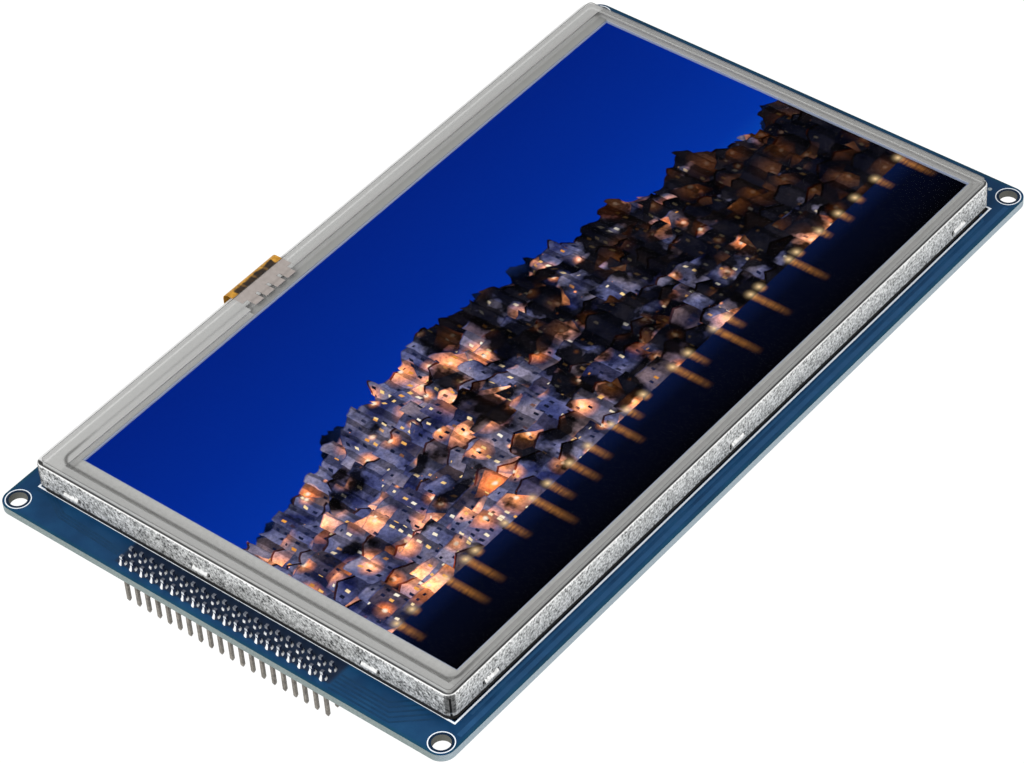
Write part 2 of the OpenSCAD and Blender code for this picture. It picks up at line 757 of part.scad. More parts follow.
module touch_glass() {
    color("#c8d0ce", 0.4) slab(touch_box, z_glass, touch_glass_t, touch_corner_r);
}

module touch_seal() {
    seal_hole = inner_box(touch_box, seal_left, seal_near, seal_right, seal_far);
    color("#b9b9b7") difference() {
        frame_slab(touch_box, seal_hole, z_seal, seal_t, touch_corner_r);
        translate([tail_at - tail_w / 2, touch_box[3] - tail_tongue, z_seal - cut])
            cube([tail_w, board_w, seal_t + 2 * cut]);
    }
}

module touch_film() {
    color("#c2c2c0", 0.5) slab(touch_box, z_film, touch_film_t, touch_corner_r);
}

module touch_tail() {
    tongue_z = z_seal + seal_t / 2;
    tongue_y = touch_box[3] - tail_tongue;
    finger_gap = finger_pitch - finger_w;
    shoulder = (finger_count * finger_pitch - finger_gap) / 2;
    color("#c88a28") difference() {
        ribbon([
            [tongue_y, tongue_z], [tail_y, tongue_z], [tail_y, tail_plug_z],
            [touch_socket_y - socket_d / 2 + socket_back, tail_plug_z]
        ], tail_bend_r, seal_t, tail_w, tail_at);
        translate([tail_at, tongue_y - cut, z_seal - cut]) {
            for (i = [1 : finger_count - 1])
                translate([(i - finger_count / 2) * finger_pitch - finger_gap / 2, 0, 0])
                    cube([finger_gap, finger_l + cut, seal_t + 2 * cut]);
            for (side = [-1, 1])
                translate([side * shoulder - (side < 0 ? tail_w : 0), 0, 0])
                    cube([tail_w, finger_l + cut, seal_t + 2 * cut]);
        }
    }
}

module header_base() {
    chamfer = pin_pitch / 5;
    half = pin_pitch / 2;
    color("#17181a") difference() {
        translate([header_x - half, header_y + half, -header_base_h]) linear_extrude(header_base_h)
            for (i = [0 : header_pins - 1]) translate([0, -(i + 1) * pin_pitch]) polygon([
                [chamfer, 0], [2 * pin_pitch - chamfer, 0], [2 * pin_pitch, chamfer],
                [2 * pin_pitch, pin_pitch - chamfer], [2 * pin_pitch - chamfer, pin_pitch],
                [chamfer, pin_pitch], [0, pin_pitch - chamfer], [0, chamfer]
            ]);
        for (place = pin_places)
            translate([place[0], place[1], -header_base_h / 2])
                cube([pin_side, pin_side, header_base_h + 2 * cut], center = true);
    }
}

module header_pins() {
    color("#8f8878") for (place = pin_places) translate([place[0], place[1], -pin_drop + pin_point]) {
        linear_extrude(pin_drop - pin_point + board_t + pin_rise) square(pin_side, center = true);
        mirror([0, 0, 1]) linear_extrude(pin_point, scale = 0.5) square(pin_side, center = true);
    }
}

module header_solder() {
    color("#c9cbcd") for (place = pin_places) translate([place[0], place[1], board_t]) difference() {
        cylinder(r1 = solder_r, r2 = pin_side * 0.75, h = solder_h, $fn = 24);
        cube([pin_side, pin_side, 4 * solder_h], center = true);
    }
}

module controller_body() {
    color("#1b1c1e") underside(controller_place) chip_shell(controller_l, controller_w, controller_h);
}

module controller_leads() {
    rise = chip_stand + controller_h / 2;
    lead_w = controller_pitch * lead_share;
    color("#c4c6c8") underside(controller_place) for (side = [0, 180]) rotate(side) {
        lead_row(controller_long, controller_pitch, controller_w / 2, rise, lead_w);
        rotate(90) lead_row(controller_short, controller_pitch, controller_l / 2, rise, lead_w);
    }
}

module touch_chip_body() {
    color("#1e1f21") underside(touch_chip[5], touch_chip[6])
        chip_shell(touch_chip[0], touch_chip[1], touch_chip[2]);
}

module touch_chip_leads() {
    color("#c4c6c8") underside(touch_chip[5], touch_chip[6]) two_lead_rows(touch_chip);
}

module flash_body() {
    color("#202123") underside(flash_chip[5], flash_chip[6])
        chip_shell(flash_chip[0], flash_chip[1], flash_chip[2]);
}

module flash_leads() {
    color("#c4c6c8") underside(flash_chip[5], flash_chip[6]) two_lead_rows(flash_chip);
}

module regulator_body() {
    color("#1e1f21") underside(regulator_chip[5], regulator_chip[6])
        chip_shell(regulator_chip[0], regulator_chip[1], regulator_chip[2]);
}

// Three leads on one side and one broad tab on the other
module regulator_leads() {
    rise = chip_stand + regulator_chip[2] / 2;
    color("#c4c6c8") underside(regulator_chip[5], regulator_chip[6]) {
        lead_row(regulator_chip[3], regulator_chip[4], regulator_chip[1] / 2, rise, regulator_lead);
        rotate(180) lead_row(1, 0, regulator_chip[1] / 2, rise, regulator_tab);
    }
}

module boost_chip_body() {
    color("#1e1f21") underside(boost_chip[5], boost_chip[6])
        chip_shell(boost_chip[0], boost_chip[1], boost_chip[2]);
}

module boost_chip_leads() {
    color("#c4c6c8") underside(boost_chip[5], boost_chip[6]) two_lead_rows(boost_chip);
}

// Shielded power inductor: chamfered ferrite block with a round core set in its face
module power_inductor() {
    chamfer = inductor_side / 5;
    half = inductor_side / 2;
    color("#3a3b3d") underside(inductor_place) difference() {
        linear_extrude(inductor_h) polygon([
            [-half + chamfer, -half], [half - chamfer, -half], [half, -half + chamfer],
            [half, half - chamfer], [half - chamfer, half], [-half + chamfer, half],
            [-half, half - chamfer], [-half, -half + chamfer]
        ]);
        translate([0, 0, inductor_h - groove_deep]) difference() {
            cylinder(d = groove_d, h = inductor_h);
            cylinder(d = core_d, h = inductor_h);
        }
    }
}

module diode_body() {
    color("#1c1d1f") underside(diode_place)
        translate([-diode_size[0] / 2, -diode_size[1] / 2, chip_stand])
            cube([diode_size[0], diode_size[1], diode_size[2]]);
}

module diode_leads() {
    color("#c4c6c8") underside(diode_place) for (side = [90, -90])
        rotate(side) lead_row(1, 0, diode_size[0] / 2, chip_stand + diode_size[2] / 2, diode_lead);
}

module crystal_base() {
    color("#d8cfa8") underside(crystal_place)
        translate([-crystal_size[0] / 2, -crystal_size[1] / 2, 0])
            cube([crystal_size[0], crystal_size[1], crystal_base_h]);
}

module crystal_can() {
    half = [crystal_size[0] / 2 - crystal_rim, crystal_size[1] / 2 - crystal_rim];
    color("#c9cacc") underside(crystal_place)
        slab([-half[0], -half[1], half[0], half[1]], crystal_base_h, crystal_can_h, crystal_rim);
}

module capacitor_bodies() {
    color("#a8865c") for (place = capacitor_places) underside(place, place[2])
        translate([-capacitor_size[0] / 2 + end_l, -capacitor_size[1] / 2 + end_t, end_t])
            cube([capacitor_size[0] - 2 * end_l, capacitor_size[1] - 2 * end_t, capacitor_size[2] - 2 * end_t]);
}

module capacitor_ends() {
    color("#c9cbcd") for (place = capacitor_places) underside(place, place[2]) end_cap(capacitor_size);
}

module resistor_bodies() {
    color("#18191b") for (place = resistor_places) underside(place, place[2])
        translate([-resistor_size[0] / 2 + end_l, -resistor_size[1] / 2 + end_t, end_t])
            cube([resistor_size[0] - 2 * end_l, resistor_size[1] - 2 * end_t, resistor_size[2] - 2 * end_t]);
}

module resistor_ends() {
    color("#c9cbcd") for (place = resistor_places) underside(place, place[2]) end_cap(resistor_size);
}

// Card socket, drawn with its mouth at x = 0 facing +X
module at_card_edge() {
    underside([board_l / 2 - hole_inset / 2, card_y]) children();
}

card_ways = 9;
card_pitch = 2.5;
card_spring_l = 7;
card_spring_w = 1;
card_spring_t = 0.2;

module card_socket_base() {
    inner_w = card_w - 2 * card_shell_t;
    color("#26282b") at_card_edge() difference() {
        translate([-card_l + card_shell_t, -inner_w / 2, 0])
            cube([card_l - card_shell_t, inner_w, card_h - card_shell_t]);
        translate([-card_l + 2 * card_rail, -inner_w / 2 + card_rail, card_floor])
            cube([card_l, inner_w - 2 * card_rail, card_h]);
    }
}

module card_socket_contacts() {
    color("#c8a860") at_card_edge() for (i = [0 : card_ways - 1])
        translate([-card_l + 2 * card_rail, (i - (card_ways - 1) / 2) * card_pitch - card_spring_w / 2, card_floor])
            cube([card_spring_l, card_spring_w, card_spring_t]);
}

// Folded sheet cover with two spring slits and four solder tabs
module card_socket_shell() {
    tab = 1.2;
    slit_l = card_l / 3;
    color("#bfc1c3") at_card_edge() {
        difference() {
            translate([-card_l, -card_w / 2, 0]) cube([card_l, card_w, card_h]);
            translate([-card_l + card_shell_t, -card_w / 2 + card_shell_t, -cut])
                cube([card_l + cut, card_w - 2 * card_shell_t, card_h - card_shell_t + cut]);
            for (side = [-1, 1])
                translate([-card_l * 0.6, side * card_w / 4, card_h - 2 * card_shell_t])
                    cube([slit_l, tab, 4 * card_shell_t]);
        }
        for (sx = [0.15, 0.85], sy = [-1, 1])
            translate([-card_l * sx - tab / 2, sy * (card_w + tab) / 2 - tab / 2, 0])
                cube([tab, tab, card_shell_t]);
    }
}

// Ribbon connector, drawn with its mouth facing +Y and its middle at the origin
module socket_body(width, t) {
    l = width + 2 * socket_end;
    slot_h = contact_t + t + lock_gap + socket_h / 3;
    difference() {
        translate([-l / 2, -socket_d / 2, 0]) cube([l, socket_d, socket_h]);
        translate([-width / 2 - lock_gap, -socket_d / 2 + socket_back, socket_floor])
            cube([width + 2 * lock_gap, socket_d, slot_h]);
        translate([-width / 2, -socket_d / 2 - cut, -cut])
            cube([width, socket_back + cut, socket_floor + contact_t + cut]);
    }
}

module socket_contacts(ways, pitch) {
    tail = socket_d / 2 + contact_tail;
    riser = -socket_d / 2 + socket_back - contact_t;
    reach = socket_d / 3;
    for (i = [0 : ways - 1]) translate([(i - (ways - 1) / 2) * pitch, 0, 0]) rotate([90, 0, 90])
        linear_extrude(pitch * lead_share, center = true) polygon([
            [-tail, 0], [riser + contact_t, 0], [riser + contact_t, socket_floor], [reach, socket_floor],
            [reach, socket_floor + contact_t], [riser, socket_floor + contact_t], [riser, contact_t],
            [-tail, contact_t]
        ]);
}

// Sliding lock: a bar across the mouth, a tongue over the ribbon and an arm at each end
module socket_lock(width, t) {
    l = width + 2 * socket_end;
    low = socket_floor + contact_t + t + lock_gap;
    high = socket_floor + contact_t + t + lock_gap + socket_h / 3 - lock_gap;
    front = socket_d / 2 + lock_gap;
    half = l / 2 + lock_gap + lock_arm;
    translate([-half, front, low]) cube([2 * half, lock_bar, socket_h - low]);
    translate([-width / 2 + lock_gap, socket_d / 2 - lock_tongue, low])
        cube([width - 2 * lock_gap, lock_tongue + lock_gap + lock_bar / 2, high - low]);
    for (side = [-1, 1])
        translate([side * (half - lock_arm / 2) - lock_arm / 2, socket_d / 2 - lock_tongue, low])
            cube([lock_arm, lock_tongue + lock_gap + lock_bar, high - low]);
}

module lcd_connector_body() {
    color("#e6dfc8") underside([ribbon_at, lcd_socket_y]) socket_body(ribbon_w, ribbon_t);
}

module lcd_connector_contacts() {
    color("#c9b070") underside([ribbon_at, lcd_socket_y]) socket_contacts(lcd_ways, fine_pitch);
}

module lcd_connector_lock() {
    color("#2a2b2e") underside([ribbon_at, lcd_socket_y]) socket_lock(ribbon_w, ribbon_t);
}

module touch_connector_body() {
    color("#e6dfc8") underside([tail_at, touch_socket_y]) socket_body(tail_w, seal_t);
}

module touch_connector_contacts() {
    color("#c9b070") underside([tail_at, touch_socket_y]) socket_contacts(touch_ways, coarse_pitch);
}

module touch_connector_lock() {
    color("#2a2b2e") underside([tail_at, touch_socket_y]) socket_lock(tail_w, seal_t);
}

board();
panel_tape();
lcd_bezel();
front_polariser();
colour_filter_glass();
thin_film_glass();
rear_polariser();
driver_chips();
lcd_ribbon();
film_stack();
light_guide();
reflector();
led_strip();
leds();
light_frame();
rear_pan();
touch_tape();
touch_glass();
touch_seal();
touch_film();
touch_tail();
header_base();
header_pins();
header_solder();
controller_body();
controller_leads();
touch_chip_body();
touch_chip_leads();
flash_body();
flash_leads();
regulator_body();
regulator_leads();
boost_chip_body();
boost_chip_leads();
power_inductor();
diode_body();
diode_leads();
crystal_base();
crystal_can();
capacitor_bodies();
capacitor_ends();
resistor_bodies();
resistor_ends();
card_socket_base();
card_socket_contacts();
card_socket_shell();
lcd_connector_body();
lcd_connector_contacts();
lcd_connector_lock();
touch_connector_body();
touch_connector_contacts();
touch_connector_lock();
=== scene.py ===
# %% [markdown]
# # A seven-inch display module
# The real object is a driver board with a steel-framed liquid crystal panel on top, a touch panel over
# that, and a two-row pin header along one short side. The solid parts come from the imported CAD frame.
# This script gives each of them its finish, and adds the thin printed and soldered details.

# %% Load the frame
import math
import random
from functools import partial

import bmesh
import bpy
from mathutils import Matrix, Vector


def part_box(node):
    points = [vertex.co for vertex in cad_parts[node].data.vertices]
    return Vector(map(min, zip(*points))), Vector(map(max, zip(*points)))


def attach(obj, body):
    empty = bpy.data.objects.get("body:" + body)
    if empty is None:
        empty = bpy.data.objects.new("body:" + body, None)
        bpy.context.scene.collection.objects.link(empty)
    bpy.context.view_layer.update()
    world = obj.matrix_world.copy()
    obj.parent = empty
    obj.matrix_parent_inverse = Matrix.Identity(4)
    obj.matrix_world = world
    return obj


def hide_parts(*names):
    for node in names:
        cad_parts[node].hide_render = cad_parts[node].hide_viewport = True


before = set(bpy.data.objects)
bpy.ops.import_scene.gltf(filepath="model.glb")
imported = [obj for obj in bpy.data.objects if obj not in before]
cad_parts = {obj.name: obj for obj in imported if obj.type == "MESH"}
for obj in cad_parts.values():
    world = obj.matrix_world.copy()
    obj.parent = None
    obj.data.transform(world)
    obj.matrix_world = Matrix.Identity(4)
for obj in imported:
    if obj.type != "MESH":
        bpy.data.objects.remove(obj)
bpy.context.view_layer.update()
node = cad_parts
MM = 0.001


def box_of(name):
    """Low and high corner of a CAD node, in millimetres."""
    return [[length / MM for length in corner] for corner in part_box(name)]


# %% [markdown]
# ## Helpers for colour and shader nodes
# Paint chips are written as hex values, which are display colours. Shaders add light, so they need linear
# values, and one function does that turn. Another adds a node, sets it up and links it in one line. Its
# inputs are numbers, sockets or whole nodes, where a node stands for the first of its outputs in use. A list
# fills the inputs in use in their order, and a dictionary names them. Each finish starts with that function
# tied to its own node tree, under the name add.

# %% Colour and node helpers
def linear(hex_colour):
    shares = [int(hex_colour[i : i + 2], 16) / 255 for i in (1, 3, 5)]
    return tuple(c / 12.92 if c <= 0.04045 else ((c + 0.055) / 1.055) ** 2.4 for c in shares) + (1.0,)


def output_of(source):
    if isinstance(source, bpy.types.Node):
        return next(socket for socket in source.outputs if socket.enabled)
    return source


def put(tree, kind, inputs=(), stops=None, **settings):
    made = tree.nodes.new(kind)
    for key, value in settings.items():
        setattr(made, key, value)
    if isinstance(inputs, dict):
        pairs = [(made.inputs[key], value) for key, value in inputs.items()]
    else:
        pairs = list(zip([socket for socket in made.inputs if socket.enabled], inputs))
    for socket, value in pairs:
        if isinstance(value, (bpy.types.Node, bpy.types.NodeSocket)):
            tree.links.new(output_of(value), socket)
        else:
            socket.default_value = value
    if stops:
        marks = made.color_ramp.elements
        for mark, (place, colour) in zip(marks, (stops[0], stops[-1])):
            mark.position = place
            mark.color = linear(colour)
        for place, colour in stops[1:-1]:
            marks.new(place).color = linear(colour)
    return made


def start_finish(name, sockets):
    material = bpy.data.materials.new(name)
    material.use_nodes = True
    material.node_tree.nodes.clear()
    add = partial(put, material.node_tree)
    shader = add("ShaderNodeBsdfPrincipled", sockets)
    add("ShaderNodeOutputMaterial", {"Surface": shader})
    return material, add, shader


def feed(shader, sources):
    for socket, source in sources.items():
        shader.id_data.links.new(output_of(source), shader.inputs[socket])


def dress(finish, *names):
    for name in names:
        node[name].data.materials.clear()
        node[name].data.materials.append(finish)


MATH = "ShaderNodeMath"
RANGE = "ShaderNodeMapRange"
MIX = "ShaderNodeMix"
RAMP = "ShaderNodeValToRGB"
NOISE = "ShaderNodeTexNoise"
CELLS = "ShaderNodeTexVoronoi"
COORDS = "ShaderNodeTexCoord"
VECTOR = "ShaderNodeVectorMath"
SPLIT = "ShaderNodeSeparateXYZ"
JOIN = "ShaderNodeCombineXYZ"
print("helpers ready")

# %% [markdown]
# ## One recipe for grained finishes
# Moulded plastic, chip epoxy, foam and plating all differ in colour, grain size and gloss, but each shows
# one fine grain in colour, gloss and relief together. One recipe with those sizes covers them all.

# %% Grained finishes
GRAIN_LOW, GRAIN_HIGH = 0.3, 0.7


def grained(name, dark, light, grain, rough, relief=0.0, metallic=0.0):
    """grain and relief are in millimetres, rough is the lowest and highest roughness."""
    material, add, shader = start_finish(name, {"Metallic": metallic})
    where = add(COORDS).outputs["Object"]
    speck = add(NOISE, {"Vector": where, "Scale": 1 / (grain * MM), "Detail": 3.0})
    tint = add(RAMP, [speck], stops=[(GRAIN_LOW, dark), (GRAIN_HIGH, light)])
    gloss = add(RANGE, [speck, GRAIN_LOW, GRAIN_HIGH, rough[0], rough[1]])
    feed(shader, {"Base Color": tint, "Roughness": gloss})
    if relief:
        bump = add("ShaderNodeBump", {"Distance": relief * MM, "Height": speck})
        feed(shader, {"Normal": bump})
    return material


# Closed-cell foam tape: dull, with open pores
dress(grained("foam_tape", "#020202", "#070708", 0.5, (0.85, 0.95), 0.06), "panel_tape")
# Black glass-filled nylon: fine moulded skin with a slight sheen
dress(grained("black_nylon", "#111214", "#202124", 0.25, (0.45, 0.6), 0.01), "header_base")
# Moulded epoxy: dull charcoal with a fine sparkle from its filler
dress(grained("chip_epoxy", "#161718", "#2b2c2e", 0.12, (0.55, 0.75), 0.012), "controller_body",
      "touch_chip_body", "flash_body", "regulator_body", "boost_chip_body", "diode_body")
# Tin-plated copper leads: bright, a little uneven
dress(grained("tinned_lead", "#a9abad", "#d6d8da", 0.3, (0.25, 0.4), 0.004, 0.9), "controller_leads",
      "touch_chip_leads", "flash_leads", "regulator_leads", "boost_chip_leads", "diode_leads",
      "capacitor_ends", "resistor_ends")
# Pressed ferrite: dark grey ceramic with a dry surface
dress(grained("ferrite", "#2c2d2f", "#454648", 0.2, (0.65, 0.8), 0.02), "power_inductor")
# Fired ceramic: tan capacitor bodies, cream crystal base
dress(grained("tan_ceramic", "#8f6f49", "#b48f62", 0.3, (0.45, 0.6), 0.006), "capacitor_bodies")
dress(grained("cream_ceramic", "#cfc49b", "#e2dab8", 0.3, (0.5, 0.6), 0.006), "crystal_base")
# Resistor glaze: black glass over the film
dress(grained("resistor_glaze", "#101113", "#1f2023", 0.2, (0.25, 0.35), 0.004), "resistor_bodies")
# Rolled nickel silver: satin sheet of the can and the card socket
dress(grained("nickel_sheet", "#a6a8aa", "#cccecf", 0.6, (0.28, 0.4), 0.006, 0.95), "crystal_can",
      "card_socket_shell")
# Heat-proof moulding: pale connector bodies, dark sliding locks and card tray
dress(grained("ivory_moulding", "#d9d0b6", "#ece5d0", 0.3, (0.45, 0.55), 0.008), "lcd_connector_body",
      "touch_connector_body")
dress(grained("lock_moulding", "#222326", "#36373b", 0.3, (0.45, 0.6), 0.008), "lcd_connector_lock",
      "touch_connector_lock")
dress(grained("tray_moulding", "#1f2124", "#303236", 0.3, (0.5, 0.65), 0.01), "card_socket_base")
# Gold flash over nickel: warm bright springs
dress(grained("gold_flash", "#b9923f", "#e0c27c", 0.3, (0.22, 0.35), 0.003, 1.0), "lcd_connector_contacts",
      "touch_connector_contacts", "card_socket_contacts")
# Inside the panel: glass, silicon, light films, guide, lamps and frame
dress(grained("cell_glass", "#565c63", "#6a7078", 2.0, (0.08, 0.14)), "colour_filter_glass",
      "thin_film_glass")
dress(grained("driver_silicon", "#2b2d31", "#43464c", 0.2, (0.2, 0.35), 0.002), "driver_chips")
dress(grained("dark_polariser", "#23252a", "#30333a", 1.0, (0.25, 0.35)), "rear_polariser")
dress(grained("light_film", "#e3e3df", "#f3f3f0", 0.4, (0.4, 0.6), 0.004), "film_stack", "reflector")
dress(grained("light_guide_acrylic", "#d4dde0", "#e8eff1", 1.5, (0.1, 0.2)), "light_guide")
dress(grained("lamp_phosphor", "#ecdf94", "#f8f0c0", 0.2, (0.4, 0.5), 0.004), "leds")
dress(grained("frame_polycarbonate", "#0c0d0e", "#1b1c1e", 0.3, (0.6, 0.75), 0.008), "light_frame")
dress(grained("pan_steel", "#96989a", "#b9bbbc", 0.8, (0.35, 0.5), 0.006, 0.9), "rear_pan")
# Polyimide film: clear amber with a faint weave of copper below
dress(grained("amber_polyimide", "#a3741c", "#c9933a", 0.6, (0.25, 0.35), 0.003), "lcd_ribbon", "led_strip")
print("grained finishes:", len(bpy.data.materials))

# %% [markdown]
# ## Header pins
# The pins are drawn from brass wire and tinned. Below the board the tin has dulled to a warm grey. Above it
# the side that faces the lamps is painted bright as a painted highlight, less so on the inner row, the tops
# get a faint painted highlight, and the other sides are painted dark navy as painted shade. The height and
# the direction of each face decide which of them shows. Two helpers read the place and the direction of a
# surface, here and in the finishes below.

# %% Pin finish
BOARD_TOP, ROW_MIDDLE = 1.6, -86.93
WIRE_GRAIN = 0.6


def place_in_mm(add):
    """The place on the piece in millimetres, whole and as X, Y and Z."""
    where = add(COORDS).outputs["Object"]
    in_mm = add(VECTOR, [where, 1 / MM], operation="SCALE")
    return in_mm, add(SPLIT, [in_mm]).outputs


def facing_of(add):
    """X, Y and Z of the direction that the surface faces."""
    return add(SPLIT, [add(COORDS).outputs["Normal"]]).outputs


pin_finish, add, shader = start_finish("tinned_brass", {"Metallic": 0.3})
in_mm, axis = place_in_mm(add)
facing = facing_of(add)
above = add(MATH, [axis["Z"], BOARD_TOP], operation="GREATER_THAN")
drawn = add(NOISE, {"Vector": in_mm, "Scale": 1 / WIRE_GRAIN, "Detail": 3.0})
dull = add(RAMP, [drawn], stops=[(0.3, "#4b4640"), (0.7, "#857f75")])
bright = add(RAMP, [drawn], stops=[(0.3, "#d6d9dc"), (0.7, "#f8f9fa")])
# Painted light: faces towards -X are painted bright tin, the inner row less, the tops faintly; the rest is
# dark navy painted shade
outward = add(RANGE, [facing["X"], -0.4, -0.8])
inner_row = add(RANGE, [axis["X"], ROW_MIDDLE, ROW_MIDDLE + 0.2, 1.0, 0.4])
pin_lit_side = add(MATH, [outward, inner_row], operation="MULTIPLY")
pin_top_painted_highlight = add(RANGE, {0: facing["Z"], 1: 0.4, 2: 0.8, 4: 0.12})
painted_highlight = add(MATH, [pin_lit_side, pin_top_painted_highlight], operation="MAXIMUM")
lit_and_shaded_tin = add(MIX, [painted_highlight, linear("#222d44"), bright], data_type="RGBA")
tint = add(MIX, [above, dull, lit_and_shaded_tin], data_type="RGBA")
gloss = add(RANGE, {0: above, 3: 0.4, 4: 0.24})
feed(shader, {"Base Color": tint, "Roughness": gloss})
dress(pin_finish, "header_pins")
print("pin finish nodes:", len(shader.id_data.nodes))

# %% [markdown]
# ## The camera
# The photograph was taken with a long lens from the corner with the header, about forty-three degrees
# above the board. The place and turn below were solved from the board's holes, outline and picture corners.

# %% Camera
LENS_PIXELS = 3999.68
PHOTO_WIDTH = 1024
SENSOR = 36.0
CAMERA_PLACE = Vector((-416.723, -372.596, 521.021))
right = Vector((0.626397, -0.777139, -0.060671))
down = Vector((-0.563778, -0.397918, -0.723751))
ahead = Vector((0.538313, 0.487561, -0.687389))
camera_data = bpy.data.cameras.new("photo_camera")
camera_data.sensor_fit = "HORIZONTAL"
camera_data.sensor_width = SENSOR
camera_data.lens = SENSOR * LENS_PIXELS / PHOTO_WIDTH
camera_data.clip_start = 0.01
camera_data.clip_end = 50
camera = bpy.data.objects.new("photo_camera", camera_data)
bpy.context.scene.collection.objects.link(camera)
turn = Matrix((right, -down, -ahead)).transposed().to_4x4()
camera.matrix_world = Matrix.Translation(CAMERA_PLACE * MM) @ turn
bpy.context.scene.camera = camera
print("lens in mm:", round(camera_data.lens, 1))

# %% [markdown]
# ## The studio
# The photograph is a shadowless product shot on white, as on a light table. A white glowing floor some way
# below the module and a soft white surrounding give that. The module is held by its corner holes, so it
# doesn't stand on the floor. Large soft lamps light the steel, and a small one in front adds sharp glints.
# The bright line along the steel's top bend and most white glints on the solder are painted highlights.

# %% Studio
FLOOR_BELOW = 0.06
FLOOR_HALF = 3.0
floor_mesh = bpy.data.meshes.new("floor")
signs = ((-1, -1), (1, -1), (1, 1), (-1, 1))
corners = [(sx * FLOOR_HALF, sy * FLOOR_HALF, -FLOOR_BELOW) for sx, sy in signs]
floor_mesh.from_pydata(corners, [], [(0, 1, 2, 3)])
floor = bpy.data.objects.new("floor", floor_mesh)
bpy.context.scene.collection.objects.link(floor)
glow = {"Emission Color": linear("#ffffff"), "Emission Strength": 1.0}
table_finish = start_finish("light_table", {"Base Color": linear("#3c3c3c"), "Roughness": 0.9, **glow})[0]
floor_mesh.materials.append(table_finish)

world = bpy.data.worlds.new("studio")
bpy.context.scene.world = world
world.use_nodes = True
surround = world.node_tree.nodes["Background"].inputs
surround["Color"].default_value = linear("#f6f6f6")
surround["Strength"].default_value = 0.45


def soft_lamp(name, place, size, watts):
    lamp_data = bpy.data.lights.new(name, "AREA")
    lamp_data.size = size
    lamp_data.energy = watts
    lamp = bpy.data.objects.new(name, lamp_data)
    lamp.location = place
    lamp.rotation_euler = (-Vector(place)).to_track_quat("-Z", "Y").to_euler()
    bpy.context.scene.collection.objects.link(lamp)


soft_lamp("window_lamp", (-0.75, 0.25, 0.75), 0.7, 7.0)
soft_lamp("side_lamp", (0.35, -0.95, 0.55), 0.6, 6.0)
soft_lamp("front_lamp", (-0.75, -0.25, 0.5), 0.2, 3.0)
bpy.context.scene.view_settings.view_transform = "Standard"
print("studio ready")

# %% [markdown]
# ## The driver board
# The board is woven glass in epoxy under a blue solder mask. The mask opens round the corner holes, where the
# bare board looks dark. Round the pins, up to the panel, the board is coloured a darker blue, and under the
# panel it is painted black as painted shadow. All of these are worked out from Object coordinates, so they
# land on the CAD holes and pins.

# %% Places on the board
HOLE_X, HOLE_Y = 87.5, 51.0
PIN_PITCH, PINS = 2.54, 20
PIN_LOW_X, PIN_LOW_Y = -88.2, -24.53
BOARD_HALF = (90.5, 54.0)
SHADOW_HALF = (82.45, 49.9)
board_finish, add, shader = start_finish("solder_mask_on_glass_epoxy", {"Specular IOR Level": 0.15})
in_mm, axis = place_in_mm(add)
facing = facing_of(add)
across, along = [add(MATH, [axis[name]], operation="ABSOLUTE") for name in "XY"]
hole_offset = add(JOIN, {"X": across, "Y": along})
hole_far = add(VECTOR, [hole_offset, (HOLE_X, HOLE_Y, 0.0)], operation="DISTANCE")
hole_ring = add(RANGE, [hole_far, 2.3, 2.4, 0.85, 0.0])
bore = add(RANGE, [hole_far, 2.0, 2.1, 1.0, 0.0])

header_middle = PIN_LOW_Y + (PINS - 1) / 2 * PIN_PITCH
from_middle = add(MATH, [axis["Y"], header_middle], operation="SUBTRACT")
beside = add(MATH, [from_middle], operation="ABSOLUTE")
in_header = add(RANGE, [beside, 25.4, 26.2, 1.0, 0.0])
left_half = add(MATH, [axis["X"], 0.0], operation="LESS_THAN")
on_top = add(MATH, [facing["Z"], 0.5], operation="GREATER_THAN")
field = add(RANGE, [axis["X"], PIN_LOW_X - 0.7, PIN_LOW_X - 0.2])
for limit in (in_header, left_half, on_top):
    field = add(MATH, [field, limit], operation="MULTIPLY")

insets = []
for half_x, half_y in (SHADOW_HALF, BOARD_HALF):
    gap_x = add(MATH, [half_x, across], operation="SUBTRACT")
    gap_y = add(MATH, [half_y, along], operation="SUBTRACT")
    insets.append(add(MATH, [gap_x, gap_y], operation="MINIMUM"))
# Painted shadow: the board under the panel is painted near black
shadow = add(RANGE, [insets[0], 0.0, 0.1])
painted_shadow_under_panel = add(MATH, [shadow, on_top], operation="MULTIPLY")
rim = add(RANGE, [insets[1], 0.1, 0.9, 0.5, 0.0])
print("board place nodes:", len(shader.id_data.nodes))

# %% [markdown]
# The faces are glossy blue and a little cloudy. Each place found above gets its colour as a coat over that,
# and the last coat wins. The cut edges show the pale weave, and the long ones are painted lighter and bluer,
# as a painted sheen.

# %% Board finish
CLOUD, WEAVE = 6.25, 1 / 3
cloud = add(NOISE, {"Vector": in_mm, "Scale": 1 / CLOUD, "Detail": 5.0})
face_tint = add(RAMP, [cloud], stops=[(0.3, "#0e3355"), (0.5, "#123b60"), (0.7, "#174469")])
for share, colour in ((rim, "#0d4650"), (field, "#1a283e"), (hole_ring, "#071a2e"), (painted_shadow_under_panel, "#030406")):
    face_tint = add(MIX, [share, face_tint, linear(colour)], data_type="RGBA")
weave = add(NOISE, {"Vector": in_mm, "Scale": 1 / WEAVE, "Detail": 3.0})
short_edge = add(RAMP, [weave], stops=[(0.3, "#6e7978"), (0.7, "#808b8a")])
